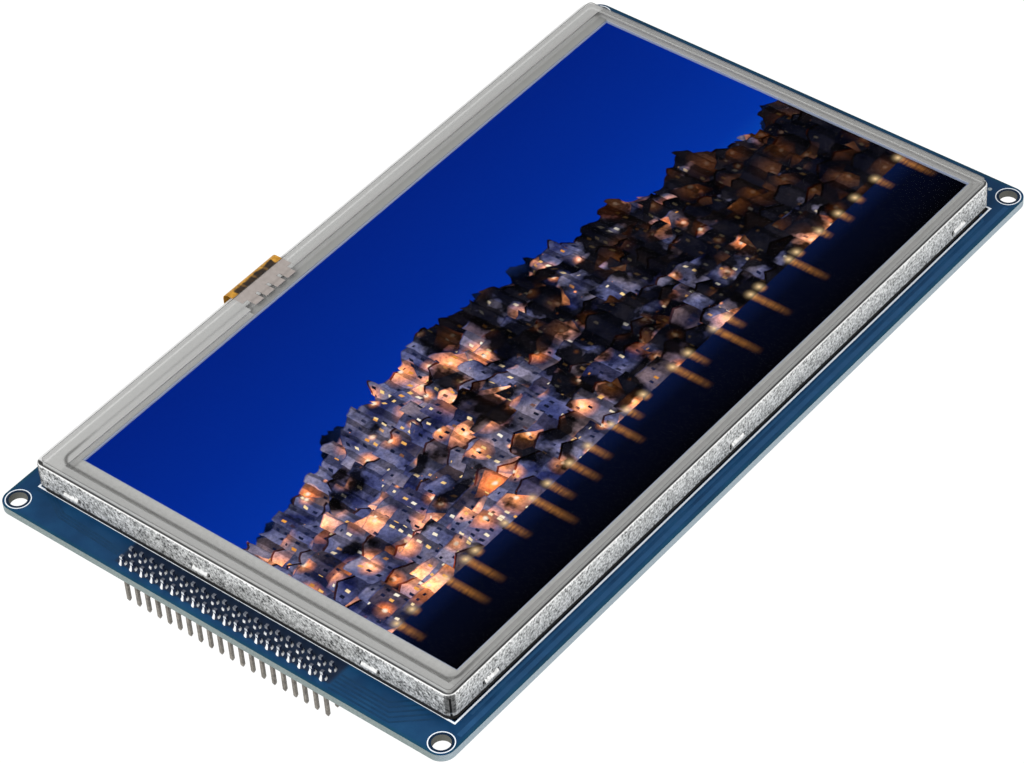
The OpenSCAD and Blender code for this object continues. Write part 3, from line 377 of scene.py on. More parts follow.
# Painted sheen: the long edges are painted lighter and bluer than the short ones
long_edge_painted_sheen = add(RAMP, [weave], stops=[(0.3, "#8995a0"), (0.7, "#9ba9ae")])
faces_y, flat = [add(MATH, [facing[name]], operation="ABSOLUTE") for name in "YZ"]
edge_tint = add(MIX, [faces_y, short_edge, long_edge_painted_sheen], data_type="RGBA")
cut_tint = add(MIX, [bore, edge_tint, linear("#5c5d58")], data_type="RGBA")
is_face = add(MATH, [flat, 0.5], operation="GREATER_THAN")
tint = add(MIX, [is_face, cut_tint, face_tint], data_type="RGBA")
gloss = add(RANGE, {0: is_face, 3: 0.75, 4: 0.45})
ripple = add("ShaderNodeBump", {"Distance": 0.01 * MM, "Height": weave})
feed(shader, {"Base Color": tint, "Roughness": gloss, "Normal": ripple})
dress(board_finish, "board")
print("board finish nodes:", len(shader.id_data.nodes))

# %% [markdown]
# ## The steel bezel
# The panel's frame is hot-dip galvanised sheet. Zinc freezes in a fine crystal pattern, so the walls look
# mottled: bright grains, grey grains and small dark pits, about half a millimetre wide, with slanting
# scratches from handling. One noise makes the grains, a drawn-out one the scratches.

# %% Zinc pattern
SPANGLE, SCRATCH, PATCH = 0.48, 1.25, 2.5
steel_finish, add, shader = start_finish("galvanised_steel", {"Metallic": 0.3})
in_mm, axis = place_in_mm(add)
facing = facing_of(add)
height = axis["Z"]
spangle = add(NOISE, {"Vector": in_mm, "Scale": 1 / SPANGLE, "Detail": 3.5, "Roughness": 0.58})
along_wall = add(MATH, [axis["X"], axis["Y"]], operation="ADD")
with_rise = add(MATH, [along_wall, height], operation="ADD")
against_rise = add(MATH, [along_wall, height], operation="SUBTRACT")
slanted = add(JOIN, {"X": with_rise, "Y": against_rise})
drawn_out = add(VECTOR, [slanted, (0.4, 2.0, 0.0)], operation="MULTIPLY")
scratch = add(NOISE, {"Vector": drawn_out, "Scale": 1 / SCRATCH, "Detail": 3.0})
patch = add(NOISE, {"Vector": in_mm, "Scale": 1 / PATCH, "Detail": 2.0})
sway = add(RANGE, [patch, 0.3, 0.7, -0.04, 0.04])
grain = add(MIX, [0.25, spangle, scratch])
mottle = add(MATH, [grain, sway], operation="ADD")
short_wall, long_wall = [add(MATH, [facing[name]], operation="ABSOLUTE") for name in "XY"]
# Painted light: the long walls are painted a little lighter than the short ones
long_walls_painted_lighter = add(MATH, [long_wall, 0.03, mottle], operation="MULTIPLY_ADD")
zinc_stops = [(0.38, "#2c2d2d"), (0.435, "#888988"), (0.49, "#abacab"), (0.55, "#c6c7c6"), (0.62, "#eeeeed")]
zinc = add(RAMP, [long_walls_painted_lighter], stops=zinc_stops)
print("zinc pattern nodes:", len(shader.id_data.nodes))

# %% [markdown]
# The foot of each wall is painted a little darker as painted shade, and the short walls get a dark painted
# shadow line at their foot. At the header end the side walls stop short of the corners, and the recess left
# there is painted dark as painted shade. A corner is told by the way it faces: between the directions of
# two walls.

# %% Shade on the walls
PANEL_MIDDLE = (-0.3, 0.0, 0.0)
PANEL_HALF = (82.95, 50.0, 0.0)
shift = add(VECTOR, [in_mm, PANEL_MIDDLE], operation="SUBTRACT")
mirrored = add(VECTOR, [shift], operation="ABSOLUTE")
past_wall = add(VECTOR, [mirrored, PANEL_HALF], operation="SUBTRACT")
past = add(SPLIT, [past_wall]).outputs
outside = add(MATH, [past["X"], past["Y"]], operation="MAXIMUM")
slant = add(MATH, [short_wall, long_wall], operation="MINIMUM")
header_end = add(MATH, [axis["X"], 0.0], operation="LESS_THAN")
# Painted shade: the corner recess at the header end, the foot of the walls and a shadow line at the foot of
# the short walls
over_foot = add(RANGE, [height, 3.5, 3.9, 0.2])
recess_painted_shade = add(RANGE, {0: slant, 1: 0.08, 2: 0.3, 4: 0.8})
for limit in (over_foot, header_end):
    recess_painted_shade = add(MATH, [recess_painted_shade, limit], operation="MULTIPLY")
foot_shade = add(RANGE, [height, 3.0, 6.5, 0.86])
foot_shadow_line = add(RANGE, [height, 3.1, 3.3, 0.9, 0.0])
foot_painted_shadow = add(MATH, [foot_shadow_line, short_wall], operation="MULTIPLY")
painted_shade = add(MATH, [foot_painted_shadow, recess_painted_shade], operation="MAXIMUM")
unshaded = add(MATH, [1.0, painted_shade], operation="SUBTRACT")
shade = add(MATH, [foot_shade, unshaded], operation="MULTIPLY")
wall = add(VECTOR, [zinc, shade], operation="SCALE")
print("with the shade:", len(shader.id_data.nodes))

# %% [markdown]
# The bend along the top and the lips of the clips are painted pale as painted highlights, weaker on the
# bend at the corners, and the pits fade out there. On the header side and the near side, the ledge under the
# glass is painted dark as painted shadow. The lip round the window is painted blue as a painted reflection
# of the picture.

# %% Painted highlights, shadow and reflection
PANEL_LOW = (-83.25, -50.0, 0.0)
BEND_LOW, BEND_HIGH, PANEL_TOP = 8.15, 8.35, 8.5
# Painted highlights on the clip lips and the top bend, painted shadow on the ledge, painted reflection on the
# window lip
lip = add(RANGE, [outside, 0.04, 0.12])
corner_dimmed_highlight = add(RANGE, [slant, 0.4, 0.65, 1.0, 0.35])
bend_painted_highlight = add(RANGE, {0: height, 1: BEND_LOW, 2: BEND_HIGH, 4: corner_dimmed_highlight})
window_lip_painted_reflection = add(RANGE, [outside, -2.5, -2.0, 1.0, 0.0])
low_wall = add(VECTOR, [in_mm, PANEL_LOW], operation="SUBTRACT")
low_axis = add(SPLIT, [low_wall]).outputs
from_wall = add(MATH, [low_axis["X"], low_axis["Y"]], operation="MINIMUM")
ledge_out = add(RANGE, [from_wall, 0.9, 1.2, 1.0, 0.0])
on_top = add(RANGE, [height, PANEL_TOP - 0.16, PANEL_TOP - 0.08])
ledge_painted_shadow = add(RANGE, [from_wall, 0.08, 0.2])
for limit in (ledge_out, on_top):
    ledge_painted_shadow = add(MATH, [ledge_painted_shadow, limit], operation="MULTIPLY")
lip_painted_highlight = add(RAMP, [mottle], stops=[(0.38, "#c8c8c7"), (0.46, "#d6d6d5"), (0.6, "#e2e2e1")])
tint = add(MIX, [lip, wall, lip_painted_highlight], data_type="RGBA")
for share, colour in ((bend_painted_highlight, "#f4f4f3"), (window_lip_painted_reflection, "#a2adc8"), (ledge_painted_shadow, "#3a3a39")):
    tint = add(MIX, [share, tint, linear(colour)], data_type="RGBA")
gloss = add(RANGE, [mottle, 0.35, 0.65, 0.6, 0.38])
painted_highlight_share = add(MATH, [lip, bend_painted_highlight], operation="MAXIMUM")
roughened = add(RANGE, {0: painted_highlight_share, 3: 0.7, 4: 0.0})
pits = add("ShaderNodeBump", {"Strength": roughened, "Distance": 0.05 * MM, "Height": mottle})
feed(shader, {"Base Color": tint, "Roughness": gloss, "Normal": pits})
dress(steel_finish, "lcd_bezel")
print("bezel finish nodes:", len(shader.id_data.nodes))

# %% [markdown]
# ## The touch panel
# A clear film lies over a sheet of glass. A pale sealed border joins them, and a tape holds the glass on the
# bezel. The clear faces let the picture through, so only their cut sides show. A side is told from a face by
# the direction that it faces. The cut sides are painted darker towards their foot and on the long sides, as
# painted shade. The sheets touch the seal and the tape in the CAD model. A renderer can't tell which of two
# faces in one place comes first, so each clear sheet is a copy of the CAD one with a hair of air above and
# below it.

# %% Clear sheets
AIR = 0.01
CLEAR, CUT = 0.006, 0.92
touch_low, touch_high = box_of("touch_film")
glass_low, glass_high = box_of("touch_glass")


def clear_sheet(name, finish):
    mesh = node[name].data.copy()
    shape = bmesh.new()
    shape.from_mesh(mesh)
    bmesh.ops.remove_doubles(shape, verts=shape.verts, dist=1e-7)
    low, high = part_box(name)
    middle = (low[2] + high[2]) / 2
    for corner in shape.verts:
        corner.co.z += AIR * MM if corner.co.z < middle else -AIR * MM
    shape.to_mesh(mesh)
    shape.free()
    mesh.materials.clear()
    mesh.materials.append(finish)
    sheet = bpy.data.objects.new(name + "_sheet", mesh)
    bpy.context.scene.collection.objects.link(sheet)
    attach(sheet, "module")
    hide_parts(name)
    print(sheet.name, "faces:", len(mesh.polygons))


def start_clear(name):
    material, add, shader = start_finish(name, {"Roughness": 0.25, "Specular IOR Level": 0.3})
    in_mm, axis = place_in_mm(add)
    facing = facing_of(add)
    long_side, level = [add(MATH, [facing[way]], operation="ABSOLUTE") for way in "YZ"]
    side = add(MATH, [level, 0.5], operation="LESS_THAN")
    rise = add(RANGE, [axis["Z"], glass_low[2], glass_high[2]])
    # Painted shade: the cut side is painted darker towards its foot, and the long sides darker still
    cut_shade_stops = [(0.0, "#3c3c3b"), (0.25, "#565655"), (0.45, "#a3a3a1"), (1.0, "#b2b2b0")]
    cut_glass_painted_shade = add(RAMP, [rise], stops=cut_shade_stops)
    shade = add(RANGE, {0: long_side, 3: 1.0, 4: 0.55})
    cut_tint = add(VECTOR, [cut_glass_painted_shade, shade], operation="SCALE")
    return material, add, shader, in_mm, side, cut_tint


glass_finish, add, shader, in_mm, side, cut_tint = start_clear("float_glass")
cover = add(RANGE, {0: side, 3: CLEAR, 4: CUT})
tint = add(MIX, [side, linear("#202326"), cut_tint], data_type="RGBA")
feed(shader, {"Alpha": cover, "Base Color": tint})
clear_sheet("touch_glass", glass_finish)

# %% [markdown]
# Under the film runs a printed silver conductor, seen through the satin film as a soft dark line with
# rounded corners. It is strongest along the header side. Its distance is that to a rounded rectangle.

# %% Film with its printed conductor
LINE_INSETS = (2.1, 0.9, 1.95, 3.35)
LINE_CORNER, LINE_HALF = 2.2, 0.52
line_low = Vector((touch_low[0] + LINE_INSETS[0], touch_low[1] + LINE_INSETS[1], 0))
line_high = Vector((touch_high[0] - LINE_INSETS[2], touch_high[1] - LINE_INSETS[3], 0))
middle = (line_low + line_high) / 2
half = (line_high - line_low) / 2 - Vector((LINE_CORNER, LINE_CORNER, 0))
film_finish, add, shader, in_mm, side, cut_tint = start_clear("polyester_film")
level_mm = add(VECTOR, [in_mm, (1.0, 1.0, 0.0)], operation="MULTIPLY")
shift = add(VECTOR, [level_mm, middle], operation="SUBTRACT")
mirrored = add(VECTOR, [shift], operation="ABSOLUTE")
beyond = add(VECTOR, [mirrored, half], operation="SUBTRACT")
outer = add(VECTOR, [beyond, (0.0, 0.0, 0.0)], operation="MAXIMUM")
reach = add(VECTOR, [outer], operation="LENGTH")
from_line = add(MATH, [reach, LINE_CORNER], operation="SUBTRACT")
off_line = add(MATH, [from_line], operation="ABSOLUTE")
soft = add(RANGE, {0: off_line, 2: LINE_HALF, 3: 1.0, 4: 0.0}, interpolation_type="SMOOTHSTEP")
along_x = add(SPLIT, [in_mm]).outputs["X"]
strength = add(RANGE, [along_x, line_low[0] + 1, line_low[0] + 10, 0.3, 0.06])
line = add(MATH, [soft, strength, CLEAR], operation="MULTIPLY_ADD")
cover = add(MIX, [side, line, CUT])
# Painted shade: the film's cut side is painted darker still
film_side_painted_shade = add(VECTOR, [cut_tint, 0.45], operation="SCALE")
tint = add(MIX, [side, linear("#3b3b39"), film_side_painted_shade], data_type="RGBA")
feed(shader, {"Alpha": cover, "Base Color": tint})
clear_sheet("touch_film", film_finish)

# %% [markdown]
# The seal is a milky adhesive. It is coloured palest along the ribbon side, a little less pale along the
# header side, greyer along the near side and greyest along the side across from the header. Most of the light
# goes through it to the grey tape below. A strip of colour starts at a place along X or Y and has a soft
# edge.

# %% Seal finish
SEAL_STEP_X, SEAL_STEP = -29.6, 1.55


def stepped(add, axis):
    """Y, moved where the seal along the ribbon side is wider, so that one limit fits both widths."""
    wide = add(MATH, [axis["X"], SEAL_STEP_X], operation="LESS_THAN")
    return add(MATH, [wide, SEAL_STEP, axis["Y"]], operation="MULTIPLY_ADD")


def with_strips(add, tint, strips):
    """A strip is the way it is measured along, where it starts, where it is full, and its colour."""
    for way, start, full, colour in strips:
        share = add(RANGE, [way, start, full])
        tint = add(MIX, [share, tint, linear(colour)], data_type="RGBA")
    return tint


seal_finish, add, shader = start_finish("milky_adhesive", {"Roughness": 0.55, "Alpha": 0.4})
in_mm, axis = place_in_mm(add)
blotch = add(NOISE, {"Vector": in_mm, "Scale": 1 / 0.6, "Detail": 3.0})
plain_seal_grey = add(RAMP, [blotch], stops=[(0.3, "#bebebc"), (0.7, "#c6c6c4")])
tint = with_strips(add, plain_seal_grey, (
    (axis["X"], touch_high[0] - 1.9, touch_high[0] - 1.5, "#b6b6b4"),
    (axis["X"], touch_low[0] + 1.9, touch_low[0] + 1.5, "#cfcfcd"),
    (stepped(add, axis), touch_high[1] - 3.6, touch_high[1] - 3.2, "#dfdfdd"),
))
feed(shader, {"Base Color": tint})
dress(seal_finish, "touch_seal")
print("seal finish nodes:", len(shader.id_data.nodes))

# %% [markdown]
# The tape is paper fibre between two coats of glue. Where the seal lies above it, the tape is painted paler,
# as painted light that makes up for the shade under the seal. Along the ribbon side the open strip is the
# darkest.

# %% Tape finish
SEAL_RIGHT, SEAL_FAR, WINDOW_FAR = 79.85, 44.75, 42.35
SHARP, SOFT = 0.2, 0.65
tape_finish, add, shader = start_finish("grey_carrier_tape", {"Roughness": 0.65})
in_mm, axis = place_in_mm(add)
fibre = add(NOISE, {"Vector": in_mm, "Scale": 1 / 0.8, "Detail": 3.0})
open_tape = add(RAMP, [fibre], stops=[(0.3, "#a6a6a4"), (0.7, "#b0b0ae")])
# Painted light: paler strips where the seal lies above, against the seal's shade
tint = with_strips(add, open_tape, (
    (axis["Y"], WINDOW_FAR - SHARP, WINDOW_FAR + SHARP, "#969694"),
    (axis["X"], SEAL_RIGHT - SHARP, SEAL_RIGHT + SHARP, "#cccccb"),
    (stepped(add, axis), SEAL_FAR - SOFT, SEAL_FAR + SOFT, "#f4f4f2"),
))
feed(shader, {"Base Color": tint})
dress(tape_finish, "touch_tape")
print("tape finish nodes:", len(shader.id_data.nodes))

# %% [markdown]
# ## The touch ribbon
# The ribbon is amber polyimide with four wide conductors, which show as one dark window in an amber rim.
# Under the film the ribbon is bonded with its fingers to the sheets and looks pinkish grey. Both parts are
# told apart by the distance along Y, so the end under the board gets the grey as well.

# %% Touch ribbon finish
FINGER_PITCH = 3.1
WINDOW_HALF = 5.6
FRAY = 0.9
tail_low, tail_high = box_of("touch_tail")
tail_middle = (tail_low[0] + tail_high[0]) / 2
tail_finish, add, shader = start_finish("polyimide_ribbon", {"Roughness": 0.32})
in_mm, axis = place_in_mm(add)
shift = add(MATH, [axis["X"], tail_middle], operation="SUBTRACT")
lane = add(MATH, [shift, FINGER_PITCH / 2, -FINGER_PITCH / 2], operation="WRAP")
from_gap = add(MATH, [lane], operation="ABSOLUTE")
reach = add(MATH, [shift], operation="ABSOLUTE")
smear = add(NOISE, {"Vector": in_mm, "Scale": 1.1, "Detail": 4.0})
ragged = add(MATH, [smear, FRAY, reach], operation="MULTIPLY_ADD")
inner = add(RANGE, [ragged, WINDOW_HALF + 0.3, WINDOW_HALF + 0.6, 1.0, 0.0])
wavy = add(MATH, [smear, FRAY, axis["Y"]], operation="MULTIPLY_ADD")
rim_y = add(RANGE, [wavy, tail_high[1] - 1.0, tail_high[1] - 0.5, 1.0, 0.0])
window = add(MATH, [inner, rim_y], operation="MULTIPLY")
amber = add(RAMP, [smear], stops=[(0.3, "#a87418"), (0.7, "#dca23c")])
copper = add(RAMP, [smear], stops=[(0.35, "#140c05"), (0.65, "#38250f")])
between = add(RAMP, [smear], stops=[(0.35, "#402c12"), (0.65, "#6c4e22")])
pink = add(RAMP, [smear], stops=[(0.3, "#9c938e"), (0.7, "#a89f9a")])
frayed = add(MATH, [smear, -0.5, from_gap], operation="MULTIPLY_ADD")
wire = add(RANGE, [frayed, -0.1, 0.15])
wires = add(MIX, [wire, between, copper], data_type="RGBA")
outside = add(MIX, [window, amber, wires], data_type="RGBA")
past = add(MATH, [axis["Y"], touch_high[1]], operation="GREATER_THAN")
tint = add(MIX, [past, pink, outside], data_type="RGBA")
feed(shader, {"Base Color": tint})
dress(tail_finish, "touch_tail")
print("ribbon finish nodes:", len(shader.id_data.nodes))

# %% [markdown]
# ## The picture on the screen
# The screen shows a generic harbour town at night: deep blue sky, a dark hill, rows of pale houses in the
# last daylight with pools of lamplight between them, and golden streaks in black water. It is all drawn by
# shader nodes. One node group draws a row of houses. A one-dimensional cell pattern gives each house its own
# width, height and colour, a two-dimensional one places the lamps, and the same group is used for each row
# from the back to the front.

# %% One row of houses
LAMPLIGHT = tuple(2.8 * share for share in linear("#ff9c3c")[:3])
LAMPS_PER_MM = 0.15
WINDOW_SHARE = 0.55


def house_row_group():
    tree = bpy.data.node_groups.new("house_row", "ShaderNodeTree")
    for name in ("Across", "Up", "Base", "Low", "High", "Width", "Seed", "Light", "Open"):
        tree.interface.new_socket(name=name, in_out="INPUT", socket_type="NodeSocketFloat")
    tree.interface.new_socket(name="Cover", in_out="OUTPUT", socket_type="NodeSocketFloat")
    tree.interface.new_socket(name="Colour", in_out="OUTPUT", socket_type="NodeSocketColor")
    add = partial(put, tree)
    given = add("NodeGroupInput").outputs
    units = add(MATH, [given["Across"], given["Width"]], operation="DIVIDE")
    cells = add(MATH, [units, given["Seed"]], operation="ADD")
    house = add(CELLS, {"W": cells, "Scale": 1.0, "Randomness": 0.85}, voronoi_dimensions="1D").outputs
    chance = add("ShaderNodeSeparateColor", [house["Color"]]).outputs
    rise = add(RANGE, {0: chance[0], 3: given["Low"], 4: given["High"]})
    gabled = add(MATH, [chance[2], 0.7], operation="GREATER_THAN")
    slope = add(MATH, [house["Distance"], given["Width"]], operation="MULTIPLY")
    pitch = add(MATH, [slope, gabled], operation="MULTIPLY")
    ridge = add(MATH, [pitch, -0.55, rise], operation="MULTIPLY_ADD")
    above = add(MATH, [given["Up"], given["Base"]], operation="SUBTRACT")
    under = add(MATH, [ridge, above], operation="SUBTRACT")
    cover = add(RANGE, [under, -0.1, 0.1])

    # Walls in dusk and lamplight, with dark groves between the houses
    wall_stops = [(0.0, "#c9d0ea"), (0.35, "#ffffff"), (0.65, "#efe6dc"), (0.85, "#d9b08a"), (1.0, "#aebbe0")]
    wall = add(RAMP, [chance[1]], stops=wall_stops)
    offset = add(MATH, [cells, house["W"]], operation="SUBTRACT")
    turned = add(RANGE, [offset, 0.08, 0.16, 1.0, 0.45])
    place = add(JOIN, {"X": given["Across"], "Y": given["Up"], "Z": given["Seed"]})
    plaster = add(NOISE, {"Vector": place, "Scale": 1.3, "Detail": 5.0, "Roughness": 0.65})
    rubble = add(RANGE, [plaster, 0.32, 0.68, 0.55, 1.3])
    street_up = add(MATH, [given["Seed"], 3.7, given["Up"]], operation="MULTIPLY_ADD")
    street = add(JOIN, {"X": given["Across"], "Y": street_up})
    lamp = add(CELLS, {"Vector": street, "Scale": LAMPS_PER_MM, "Randomness": 1.0},
               voronoi_dimensions="2D").outputs
    luck = add("ShaderNodeSeparateColor", [lamp["Color"]])
    reach = add(RANGE, {0: luck, 1: 0.25, 3: 0.02, 4: 0.95})
    pool = add(RANGE, {0: lamp["Distance"], 2: reach, 3: 1.0, 4: 0.0})
    soft_pool = add(MATH, [pool, 1.8], operation="POWER")
    glow = add(MATH, [soft_pool, given["Light"]], operation="MULTIPLY")
    haze = add(NOISE, {"Vector": place, "Scale": 0.13, "Detail": 3.0})
    dusk = add(RAMP, [haze], stops=[(0.35, "#2b3160"), (0.5, "#6a6d94"), (0.65, "#9a94b0")])
    light = add(VECTOR, [glow, LAMPLIGHT, dusk], operation="MULTIPLY_ADD")
    lit = add(VECTOR, [wall, light], operation="MULTIPLY")
    grove = add(NOISE, {"Vector": place, "Scale": 0.1, "Detail": 4.0})
    clearing = add(MATH, [grove, given["Open"]], operation="ADD")
    open_air = add(RANGE, [clearing, 0.42, 0.52, 0.04])
    textured = add(MATH, [turned, rubble], operation="MULTIPLY")
    shaded = add(MATH, [textured, open_air], operation="MULTIPLY")
    facade = add(VECTOR, [lit, shaded], operation="SCALE")

    # Windows in a grid on each wall, some of them lit
    aside = add(MATH, [offset, given["Width"]], operation="MULTIPLY")
    inside = []
    cell = []
    for spread, size, half in ((aside, 1.5, 0.16), (above, 2.1, 0.2)):
        pane = add(MATH, [spread, size], operation="DIVIDE")
        share = add(MATH, [pane], operation="FRACT")
        off = add(MATH, [share, 0.5], operation="SUBTRACT")
        off = add(MATH, [off], operation="ABSOLUTE")
        inside.append(add(RANGE, [off, half, half + 0.08, 1.0, 0.0]))
        cell.append(add(MATH, [pane], operation="FLOOR"))
    shown = add(MATH, [inside[0], inside[1]], operation="MULTIPLY")
    index = add(JOIN, {"X": cell[0], "Y": cell[1], "Z": house["W"]})
    chosen = add("ShaderNodeTexWhiteNoise", {"Vector": index}, noise_dimensions="3D")
    has_window = add(MATH, [chosen, WINDOW_SHARE], operation="GREATER_THAN")
    dark_panes = [(WINDOW_SHARE, "#0d1122"), (0.85, "#1b2140")]
    pane_stops = dark_panes + [(0.88, "#f0a040"), (0.94, "#ffd98f"), (1.0, "#fff8e8")]
    pane_tint = add(RAMP, [chosen], stops=pane_stops)
    low_enough = add(MATH, [under, 1.0], operation="GREATER_THAN")
    for limit in (low_enough, has_window, open_air):
        shown = add(MATH, [shown, limit], operation="MULTIPLY")
    front = add(MIX, [shown, facade, pane_tint], data_type="RGBA")

    # Roofs and street lamps
    eaves = add(RANGE, {0: gabled, 3: 0.22, 4: 0.5})
    near_top = add(MATH, [under, eaves], operation="LESS_THAN")
    roof_tint = add(MIX, [gabled, linear("#b4b8d2"), linear("#7a5048")], data_type="RGBA")
    roof_lit = add(VECTOR, [roof_tint, light], operation="MULTIPLY")
    roof = add(VECTOR, [roof_lit, shaded], operation="SCALE")
    built = add(MIX, [near_top, front, roof], data_type="RGBA")
    spark = add(RANGE, [lamp["Distance"], 0.03, 0.1, 1.0, 0.0])
    burning = add(MATH, [luck, 0.35], operation="GREATER_THAN")
    for limit in (burning, open_air):
        spark = add(MATH, [spark, limit], operation="MULTIPLY")
    whole = add(MIX, [spark, built, linear("#fff1d8")], data_type="RGBA")
    add("NodeGroupOutput", {"Cover": cover, "Colour": whole})
    return tree


house_row = house_row_group()
print("house row nodes:", len(house_row.nodes))

# %% [markdown]
# The sky gets darker upwards. The hill before it is a smooth hump with a rough crest, made by one noise along
# the picture's width.

# %% Sky and hill
PICTURE_LEFT, PICTURE_LOW = -77.4, -46.75
SKY_LOW, SKY_HIGH = 34.0, 89.0
HILL_MIDDLE, HILL_WIDTH = 64.0, 62.0
picture_finish, add, shader = start_finish(
    "lit_picture", {"Base Color": linear("#000000"), "Roughness": 0.5, "Specular IOR Level": 0.0}
)
in_mm, axis = place_in_mm(add)
across = add(MATH, [axis["X"], PICTURE_LEFT], operation="SUBTRACT")
up = add(MATH, [axis["Y"], PICTURE_LOW], operation="SUBTRACT")
sky_share = add(RANGE, [up, SKY_LOW, SKY_HIGH])
sky_stops = [(0.0, "#0d52bb"), (0.25, "#0131a2"), (0.6, "#002893"), (1.0, "#002185")]
sky = add(RAMP, [sky_share], stops=sky_stops)
from_top = add(MATH, [across, HILL_MIDDLE], operation="SUBTRACT")
spread = add(MATH, [from_top, HILL_WIDTH], operation="DIVIDE")
square = add(MATH, [spread, spread], operation="MULTIPLY")
minus = add(MATH, [square, -1.0], operation="MULTIPLY")
hump = add(MATH, [minus], operation="EXPONENT")
crag = add(NOISE, {"W": across, "Scale": 0.05, "Detail": 7.0}, noise_dimensions="1D")
crest = add(RANGE, [crag, 0.25, 0.75, 30.0, 46.0])
hill_top = add(MATH, [hump, 20.0, crest], operation="MULTIPLY_ADD")
hill_under = add(MATH, [hill_top, up], operation="SUBTRACT")
hill_cover = add(RANGE, [hill_under, -0.2, 0.2])
rock = add(NOISE, {"Vector": in_mm, "Scale": 0.22, "Detail": 6.0})
hill = add(RAMP, [rock], stops=[(0.4, "#020512"), (0.6, "#0a1738"), (0.75, "#1c2c58")])
scene_colour = add(MIX, [hill_cover, sky, hill], data_type="RGBA")
print("sky and hill nodes:", len(shader.id_data.nodes))

# %% [markdown]
# The rows climb a hill behind the quay. Each has a base line that rises and falls, a range of heights and a
# width. The hill is built up on the left and left to trees on the right. A slow noise bends all walls a
# little, as in an old town.

# %% Rows of houses
ROWS, WAIT = 10, 1e-7
QUAY, BEND = 15.0, 0.7
BACK_LEVEL, LEVEL_DROP = 41.0, 25.6
built_up = add(RANGE, [across, 20.0, 150.0, 0.09, -0.24])
bent = add(NOISE, {"Vector": in_mm, "Scale": 0.4, "Detail": 1.0}).outputs["Color"]
bent = add(VECTOR, [bent, (0.5, 0.5, 0.5)], operation="SUBTRACT")
bent = add(SPLIT, [bent]).outputs
bent_across = add(MATH, [bent["X"], BEND, across], operation="MULTIPLY_ADD")
bent_up = add(MATH, [bent["Y"], BEND, up], operation="MULTIPLY_ADD")
for k in range(ROWS):
    front = k / (ROWS - 1)
    level = BACK_LEVEL - LEVEL_DROP * front
    seed = 3.0 + 17.3 * k
    swing = 5.0 * (1.15 - front)
    climb = add(MATH, [hump, (level - QUAY) * 0.62, level], operation="MULTIPLY_ADD")
    # The renderer holds few values at a time, so each row starts from the finished row behind it
    behind = add(MATH, [scene_colour, WAIT, seed * 13.0], operation="MULTIPLY_ADD")
    step = add(MATH, [across, behind], operation="ADD")
    sway = add(NOISE, {"W": step, "Scale": 0.045, "Detail": 3.0}, noise_dimensions="1D")
    swung = add(RANGE, [sway, 0.2, 0.8, -swing, swing])
    base = add(MATH, [climb, swung], operation="ADD")
    sizes = {"Low": 0.8 + 0.9 * front, "High": 3.6 + 2.6 * front, "Width": 2.8 + 3.4 * front, "Seed": seed,
             "Light": 0.9 + 0.35 * front}
    row = add("ShaderNodeGroup", sizes, node_tree=house_row)
    wait = add(MATH, [scene_colour, WAIT], operation="MULTIPLY")
    row_across = add(MATH, [bent_across, wait], operation="ADD")
    row_up = add(MATH, [bent_up, wait], operation="ADD")
    feed(row, {"Across": row_across, "Up": row_up, "Base": base, "Open": built_up})
    scene_colour = add(MIX, [row.outputs["Cover"], scene_colour, row.outputs["Colour"]], data_type="RGBA")
print("picture nodes so far:", len(shader.id_data.nodes))

# %% [markdown]
# Below the quay lies dark water, with a golden streak under each lamp that breaks up in small waves and
# fades out. The lamps stand at uneven steps along the quay, each with a small halo.

# %% Water and quay lamps
LAMP_STEP, LAMP_HEIGHT, HALO = 6.1, 0.8, 2.0
LAMP_CELLS = {"Scale": 1.0, "Randomness": 0.7}
over_quay = add(MATH, [up, QUAY], operation="SUBTRACT")
is_water = add(MATH, [over_quay, 0.0], operation="LESS_THAN")
depth = add(MATH, [over_quay], operation="ABSOLUTE")
wave_place = add(VECTOR, [in_mm, (0.3, 2.2, 0.0)], operation="MULTIPLY")
wave = add(NOISE, {"Vector": wave_place, "Scale": 1.0, "Detail": 3.0})
sway = add(RANGE, [wave, 0.3, 0.7, -0.08, 0.08])
swayed = add(MATH, [across, sway], operation="ADD")
lamp_units = add(MATH, [swayed, LAMP_STEP], operation="DIVIDE")
lamps = add(CELLS, {"W": lamp_units, **LAMP_CELLS}, voronoi_dimensions="1D").outputs
streak = add(RANGE, {0: lamps["Distance"], 2: 0.2, 3: 1.0, 4: 0.0})
crests = add(RANGE, [wave, 0.35, 0.65, 0.4])
lamp_luck = add("ShaderNodeSeparateColor", [lamps["Color"]])
streak_end = add(RANGE, {0: lamp_luck, 1: 0.2, 3: 1.0, 4: 11.0})
fade = add(RANGE, {0: depth, 2: streak_end, 3: 0.6, 4: 0.0})
broken = add(MATH, [streak, crests], operation="MULTIPLY")
golden = add(MATH, [broken, fade], operation="MULTIPLY")
deep_share = add(RANGE, {0: depth, 2: QUAY})
deep = add(RAMP, [deep_share], stops=[(0.0, "#07143a"), (0.3, "#02061a"), (1.0, "#010103")])
water = add(MIX, [golden, deep, linear("#ffa84a")], data_type="RGBA")
scene_colour = add(MIX, [is_water, scene_colour, water], data_type="RGBA")

